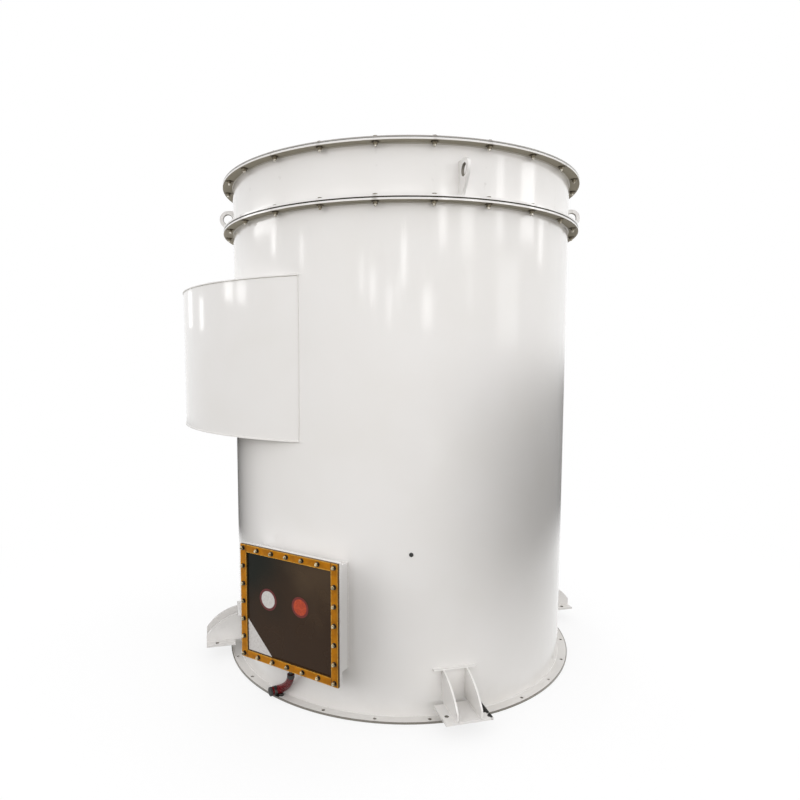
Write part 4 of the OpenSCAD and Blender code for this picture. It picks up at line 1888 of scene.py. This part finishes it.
@dataclass
class Studio:
    """The pale floor, the white surroundings, the lamps, the lit windows and the dark cloths."""

    lamps: tuple[Softbox, ...] = (
        Softbox("left", (-4.4, -4.8, 3.2), (0.0, 0.0, 1.1), (3.0, 2.6), 57.0),
        Softbox("front", (0.0, -6.6, 2.0), (0.0, 0.0, 1.0), (3.0, 2.0), 23.0),
        Softbox("right", (4.6, -4.0, 3.4), (0.0, 0.0, 1.6), (3.0, 2.0), 22.0),
        Softbox("foot", (2.0, -5.2, 0.55), (0.3, -0.9, 0.15), (1.6, 0.5), 28.0),
        Softbox("rear_right", (6.0, 3.0, 3.0), (0.0, 0.0, 1.1), (3.0, 2.6), 60.0),
        Softbox("rear", (-1.8, 6.4, 3.0), (0.0, 0.0, 1.1), (3.4, 2.6), 85.0),
    )
    windows: tuple[WindowStrip, ...] = (
        WindowStrip(-88.0, 1.35, 2.72, 2.95, 2.6),
        WindowStrip(-79.0, 0.24, 2.52, 2.72, 3.2),
        WindowStrip(-57.5, 0.14, 2.38, 2.64, 3.4),
        WindowStrip(-53.5, 0.10, 2.24, 2.40, 1.4),
        WindowStrip(-21.5, 0.15, 2.14, 2.42, 2.8),
        WindowStrip(-15.5, 0.22, 2.05, 2.34, 2.4),
        WindowStrip(-6.5, 0.20, 1.90, 2.18, 2.0),
        WindowStrip(1.3, 0.16, 2.20, 2.62, 3.4),
        WindowStrip(-1.8, 0.16, 2.02, 2.26, 1.2),
        WindowStrip(13.8, 0.34, 1.86, 2.16, 2.8),
        WindowStrip(22.0, 0.26, 2.54, 3.00, 3.4),
        WindowStrip(36.0, 0.45, 2.46, 3.00, 1.9),
        WindowStrip(37.8, 0.16, 2.04, 2.30, 1.3),
        WindowStrip(56.0, 0.30, 2.60, 3.30, 1.9),
        WindowStrip(63.0, 0.95, 1.70, 2.45, 0.9),
        WindowStrip(77.0, 0.70, 2.62, 3.30, 2.2),
        WindowStrip(90.0, 0.26, 2.44, 2.90, 2.0),
        WindowStrip(-82.3, 0.34, 2.10, 2.27, 3.2),
        WindowStrip(-74.2, 0.34, 2.08, 2.26, 2.8),
        WindowStrip(-105.0, 0.24, 1.85, 2.14, 1.6),
        WindowStrip(-119.6, 0.30, 1.88, 2.22, 1.3),
    )
    flags: tuple[Flag, ...] = (
        Flag("flag_right", (2.0, 42.0, 62.0, 98.0), (0.36, 0.70, 1.34, 1.74), 1.30, 0.10, 0.52),
        Flag("flag_right_gloss", (24.0, 70.0, 108.0, 140.0), (0.30, 0.70, 1.30, 1.76), 1.36, 0.12, 0.85,
             gloss_only=True),
        Flag("flag_left", (-120.0, -102.0, -80.0, -54.0), (0.40, 0.66, 1.16, 1.21), 1.15, 0.10, 0.46),
        Flag("flag_vent", (-17.0, -13.0, -10.0, -2.0), (0.12, 0.24, 0.60, 0.78), 1.08, 0.10, 0.60),
        Flag("flag_left_gloss", (-172.0, -146.0, -124.0, -84.0), (0.0, 0.20, 0.92, 1.16), 2.30, 0.06, 0.90,
             gloss_only=True),
    )
    floor_size: float = 60.0
    floor_drop: float = 0.0005
    floor_mottle: tuple[Colour, Colour] = ((0.12, 0.110, 0.092), (0.17, 0.156, 0.130))
    floor_pale: Colour = (0.92, 0.92, 0.92)
    covered_r: float = 0.94
    white_from: tuple[float, float] = (1.2, 3.6)
    least_white: float = 0.78
    hall: Colour = (0.99, 0.99, 1.0)
    horizon_level: float = 1.11
    zenith_level: float = 0.86

    def build(self) -> None:
        """Builds the floor, the flags, the world and the lamps."""
        bm = bmesh.new()
        bmesh.ops.create_grid(bm, x_segments=1, y_segments=1, size=self.floor_size / 2)
        stage_mesh("floor", bm, self._floor_paint()).location = (0.0, 0.0, -self.floor_drop)
        for flag in self.flags:
            flag.build()
        self._world()
        for lamp in self.lamps:
            lamp.build()
        for number, window in enumerate(self.windows, 1):
            window.softbox(number).build()

    @staticmethod
    def _seen(net: Net) -> Wire:
        """Gives 1 for rays that see the background itself, straight, in a reflection or through glass."""
        rays = net.node("LightPath", "Is Camera Ray")
        return rays | rays["Is Glossy Ray"] | rays["Is Transmission Ray"]

    def _floor_paint(self) -> Material:
        """Builds the floor's material: pale to the eye, a dark workshop floor to the light.

        Returns:
            The material.
        """
        material, net = bare_material("pale_floor")
        coords = net.node("TexCoord", "Object")
        away = net.length(coords)
        mottle = net.noise(coords, scale=1.2, detail=4.0).blend(*self.floor_mottle)
        matt = net.node("BsdfDiffuse", Color=mottle)
        pale = net.node("BsdfDiffuse", Color=self.floor_pale)
        white = net.node("Emission", Strength=1.0)
        share = away.ramp(*self.white_from) * (1.0 - self.least_white) + self.least_white
        shown = net.node("MixShader", _0=share, _1=pale, _2=white)
        net.surface(self._seen(net) * (away > self.covered_r), matt, shown)
        return material

    def _world(self) -> None:
        """Builds the world: white to the eye, an even pale hall to the light."""
        world = bpy.data.worlds.new("surroundings")
        bpy.context.scene.world = world
        world.use_nodes = True
        net = Net(world.node_tree)
        height = net.node("SeparateXYZ", "Z", Vector=net.node("TexCoord", "Generated"))
        level = (height**2.0).spread(self.horizon_level, self.zenith_level)
        hall = net.node("Background", Color=self.hall, Strength=level)
        white = net.node("Background", Color=(1.0, 1.0, 1.0), Strength=1.0)
        net.surface(self._seen(net), hall, white, "World Output")


# ---------------------------------------------------------------------------------------------
# Assembly
# ---------------------------------------------------------------------------------------------


@dataclass
class Dressing:
    """The finishes of the CAD nodes and of the bolts."""

    layout: Layout
    vent: Vent
    effects: Effects
    flange_rim: float = 0.0015
    lit_side: Point = (-0.55, -0.60, 0.55)
    gasket: SheetRubber = SheetRubber("tinted_rubber", (0.17, 0.09, 0.018), Tint((0.24, 0.15, 0.05), 0.5))
    steel: ZincPlate = ZincPlate(
        "blackened_steel", (0.10, 0.095, 0.09), (0.05, 0.047, 0.044), spangle=90.0, gloss=0.35, dull=0.55)
    # Washers darkened: part grime, part painted shade round the nuts.
    washer: ZincPlate = ZincPlate(
        "grimed_and_shaded_zinc", (0.09, 0.075, 0.05), (0.05, 0.04, 0.025), spangle=240.0, gloss=0.4, dull=0.6)
    # Nuts under the joints darkened as painted shade.
    shaded_joint_nut: ZincPlate = ZincPlate(
        "shaded_joint_nut", (0.24, 0.21, 0.15), (0.12, 0.10, 0.07), spangle=240.0, gloss=0.3, dull=0.5)
    # Thread ends lighter: a painted highlight.
    joint_end: ZincPlate = ZincPlate(
        "lit_thread_end", (0.80, 0.77, 0.69), (0.26, 0.23, 0.17), spangle=90.0, gloss=0.22, dull=0.4)
    # Gilt nuts, given painted shade on faces turned from the lit side.
    gilt_nut: ZincPlate = ZincPlate(
        "gilt_nut", (0.90, 0.80, 0.55), (0.70, 0.56, 0.32), spangle=240.0, gloss=0.15, dull=0.3)
    # Thread ends of the vent's bolts lighter: a painted highlight.
    lit_gilt_end: ZincPlate = ZincPlate(
        "lit_gilt_end", (0.80, 0.72, 0.50), (0.20, 0.16, 0.09), spangle=60.0, gloss=0.22, dull=0.4)

    def by_slot(self) -> dict[str, Material]:
        """Builds the finish of each of the record's material slots.

        Returns:
            The materials, by slot.
        """
        film = self.vent.film
        corners = (self.vent.on_film(x, film.size.z / 2) for x in (film.low.x, film.high.x))
        return {slot: finish.build(self.effects) for slot, finish in (
            ("housing_paint", EnamelPaint(self.layout)),
            ("clamp_paint", OchrePaint(self.vent.azimuth, self.vent.frame, self.vent.rim)),
            ("zinc_sheet", ZincPlate("zinc_sheet", rim_r=self.layout.flange_r - self.flange_rim)),
            ("filter_felt", NeedleFelt()),
            ("seal_rubber", SheetRubber()),
            ("membrane_film", BurstFilm(*corners, film.size.z)),
            ("red_sleeve", WovenSleeve()),
        )}

    def by_node(self) -> dict[str, Material]:
        """Builds the finishes of the nodes that differ from the rest of their slot.

        Returns:
            The materials, by node.
        """
        steel = self.steel.build(self.effects)
        return {"conduit_clip": steel, "conduit_gland": steel, "vent_gasket": self.gasket.build(self.effects)}

    def dress(self, slots: dict[str, str], by_slot: dict[str, Material],
              by_node: dict[str, Material]) -> None:
        """Gives every CAD node the finish of its slot, or its own.

        Args:
            slots: The slot of each node.
            by_slot: Materials by the record's slot.
            by_node: Materials by node, for the nodes that have their own.
        """
        for name, node in self.layout.nodes.items():
            material = by_node.get(name, by_slot[slots[name]])
            if node.material_slots:
                for place in node.material_slots:
                    place.material = material
            else:
                node.data.materials.append(material)
            LOG.info("dressed %s in %s", name, material.name)

    def bolts(self) -> tuple[dict[BoltPart, Material], dict[BoltPart, Material]]:
        """Builds the finishes of the joints' bolts and of the vent's gilt ones, their washers alike: nuts and
        washers get painted shade, thread ends a painted highlight.

        Returns:
            The joints' materials and the vent's, by part.
        """
        lit = tuple(self.vent.turn.to_3x3() @ Vector(self.lit_side))
        # The vent's nuts get painted shade on faces turned from the lit side.
        gilt = replace(self.gilt_nut, lit_way=lit)
        washer = self.washer.build(self.effects)
        joints, vents = (
            {
                BoltPart.NUT: nut.build(self.effects),
                BoltPart.WASHER: washer,
                BoltPart.END: end.build(self.effects),
            }
            for nut, end in ((self.shaded_joint_nut, self.joint_end), (gilt, self.lit_gilt_end))
        )
        return joints, vents


def main() -> None:
    """Builds the whole scene round the frame."""
    logging.basicConfig(level=logging.INFO, format="%(name)s: %(message)s")
    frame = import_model()
    bpy.context.scene.view_settings.view_transform = "Standard"
    Viewpoint().build()
    layout = Layout(frame)
    effects = Effects()
    vent = Vent(layout)
    dressing = Dressing(layout, vent, effects)
    by_slot, by_node = dressing.by_slot(), dressing.by_node()
    weld = WeldPaint().build(effects)
    slots = {row["node"]: row["material_slot"] for row in frame["record"]["subparts"]}
    dressing.dress(slots, by_slot, by_node)
    joint_bolts, vent_bolts = dressing.bolts()
    Fasteners(layout).build(joint_bolts)
    vent.build(vent_bolts, weld, effects)
    Conduit(layout).build(by_slot["red_sleeve"], by_slot["seal_rubber"], by_node["conduit_clip"])
    Welds(layout, weld).build()
    WallPlug().build(layout, by_slot["seal_rubber"])
    Studio().build()


if __name__ == "__main__":
    main()
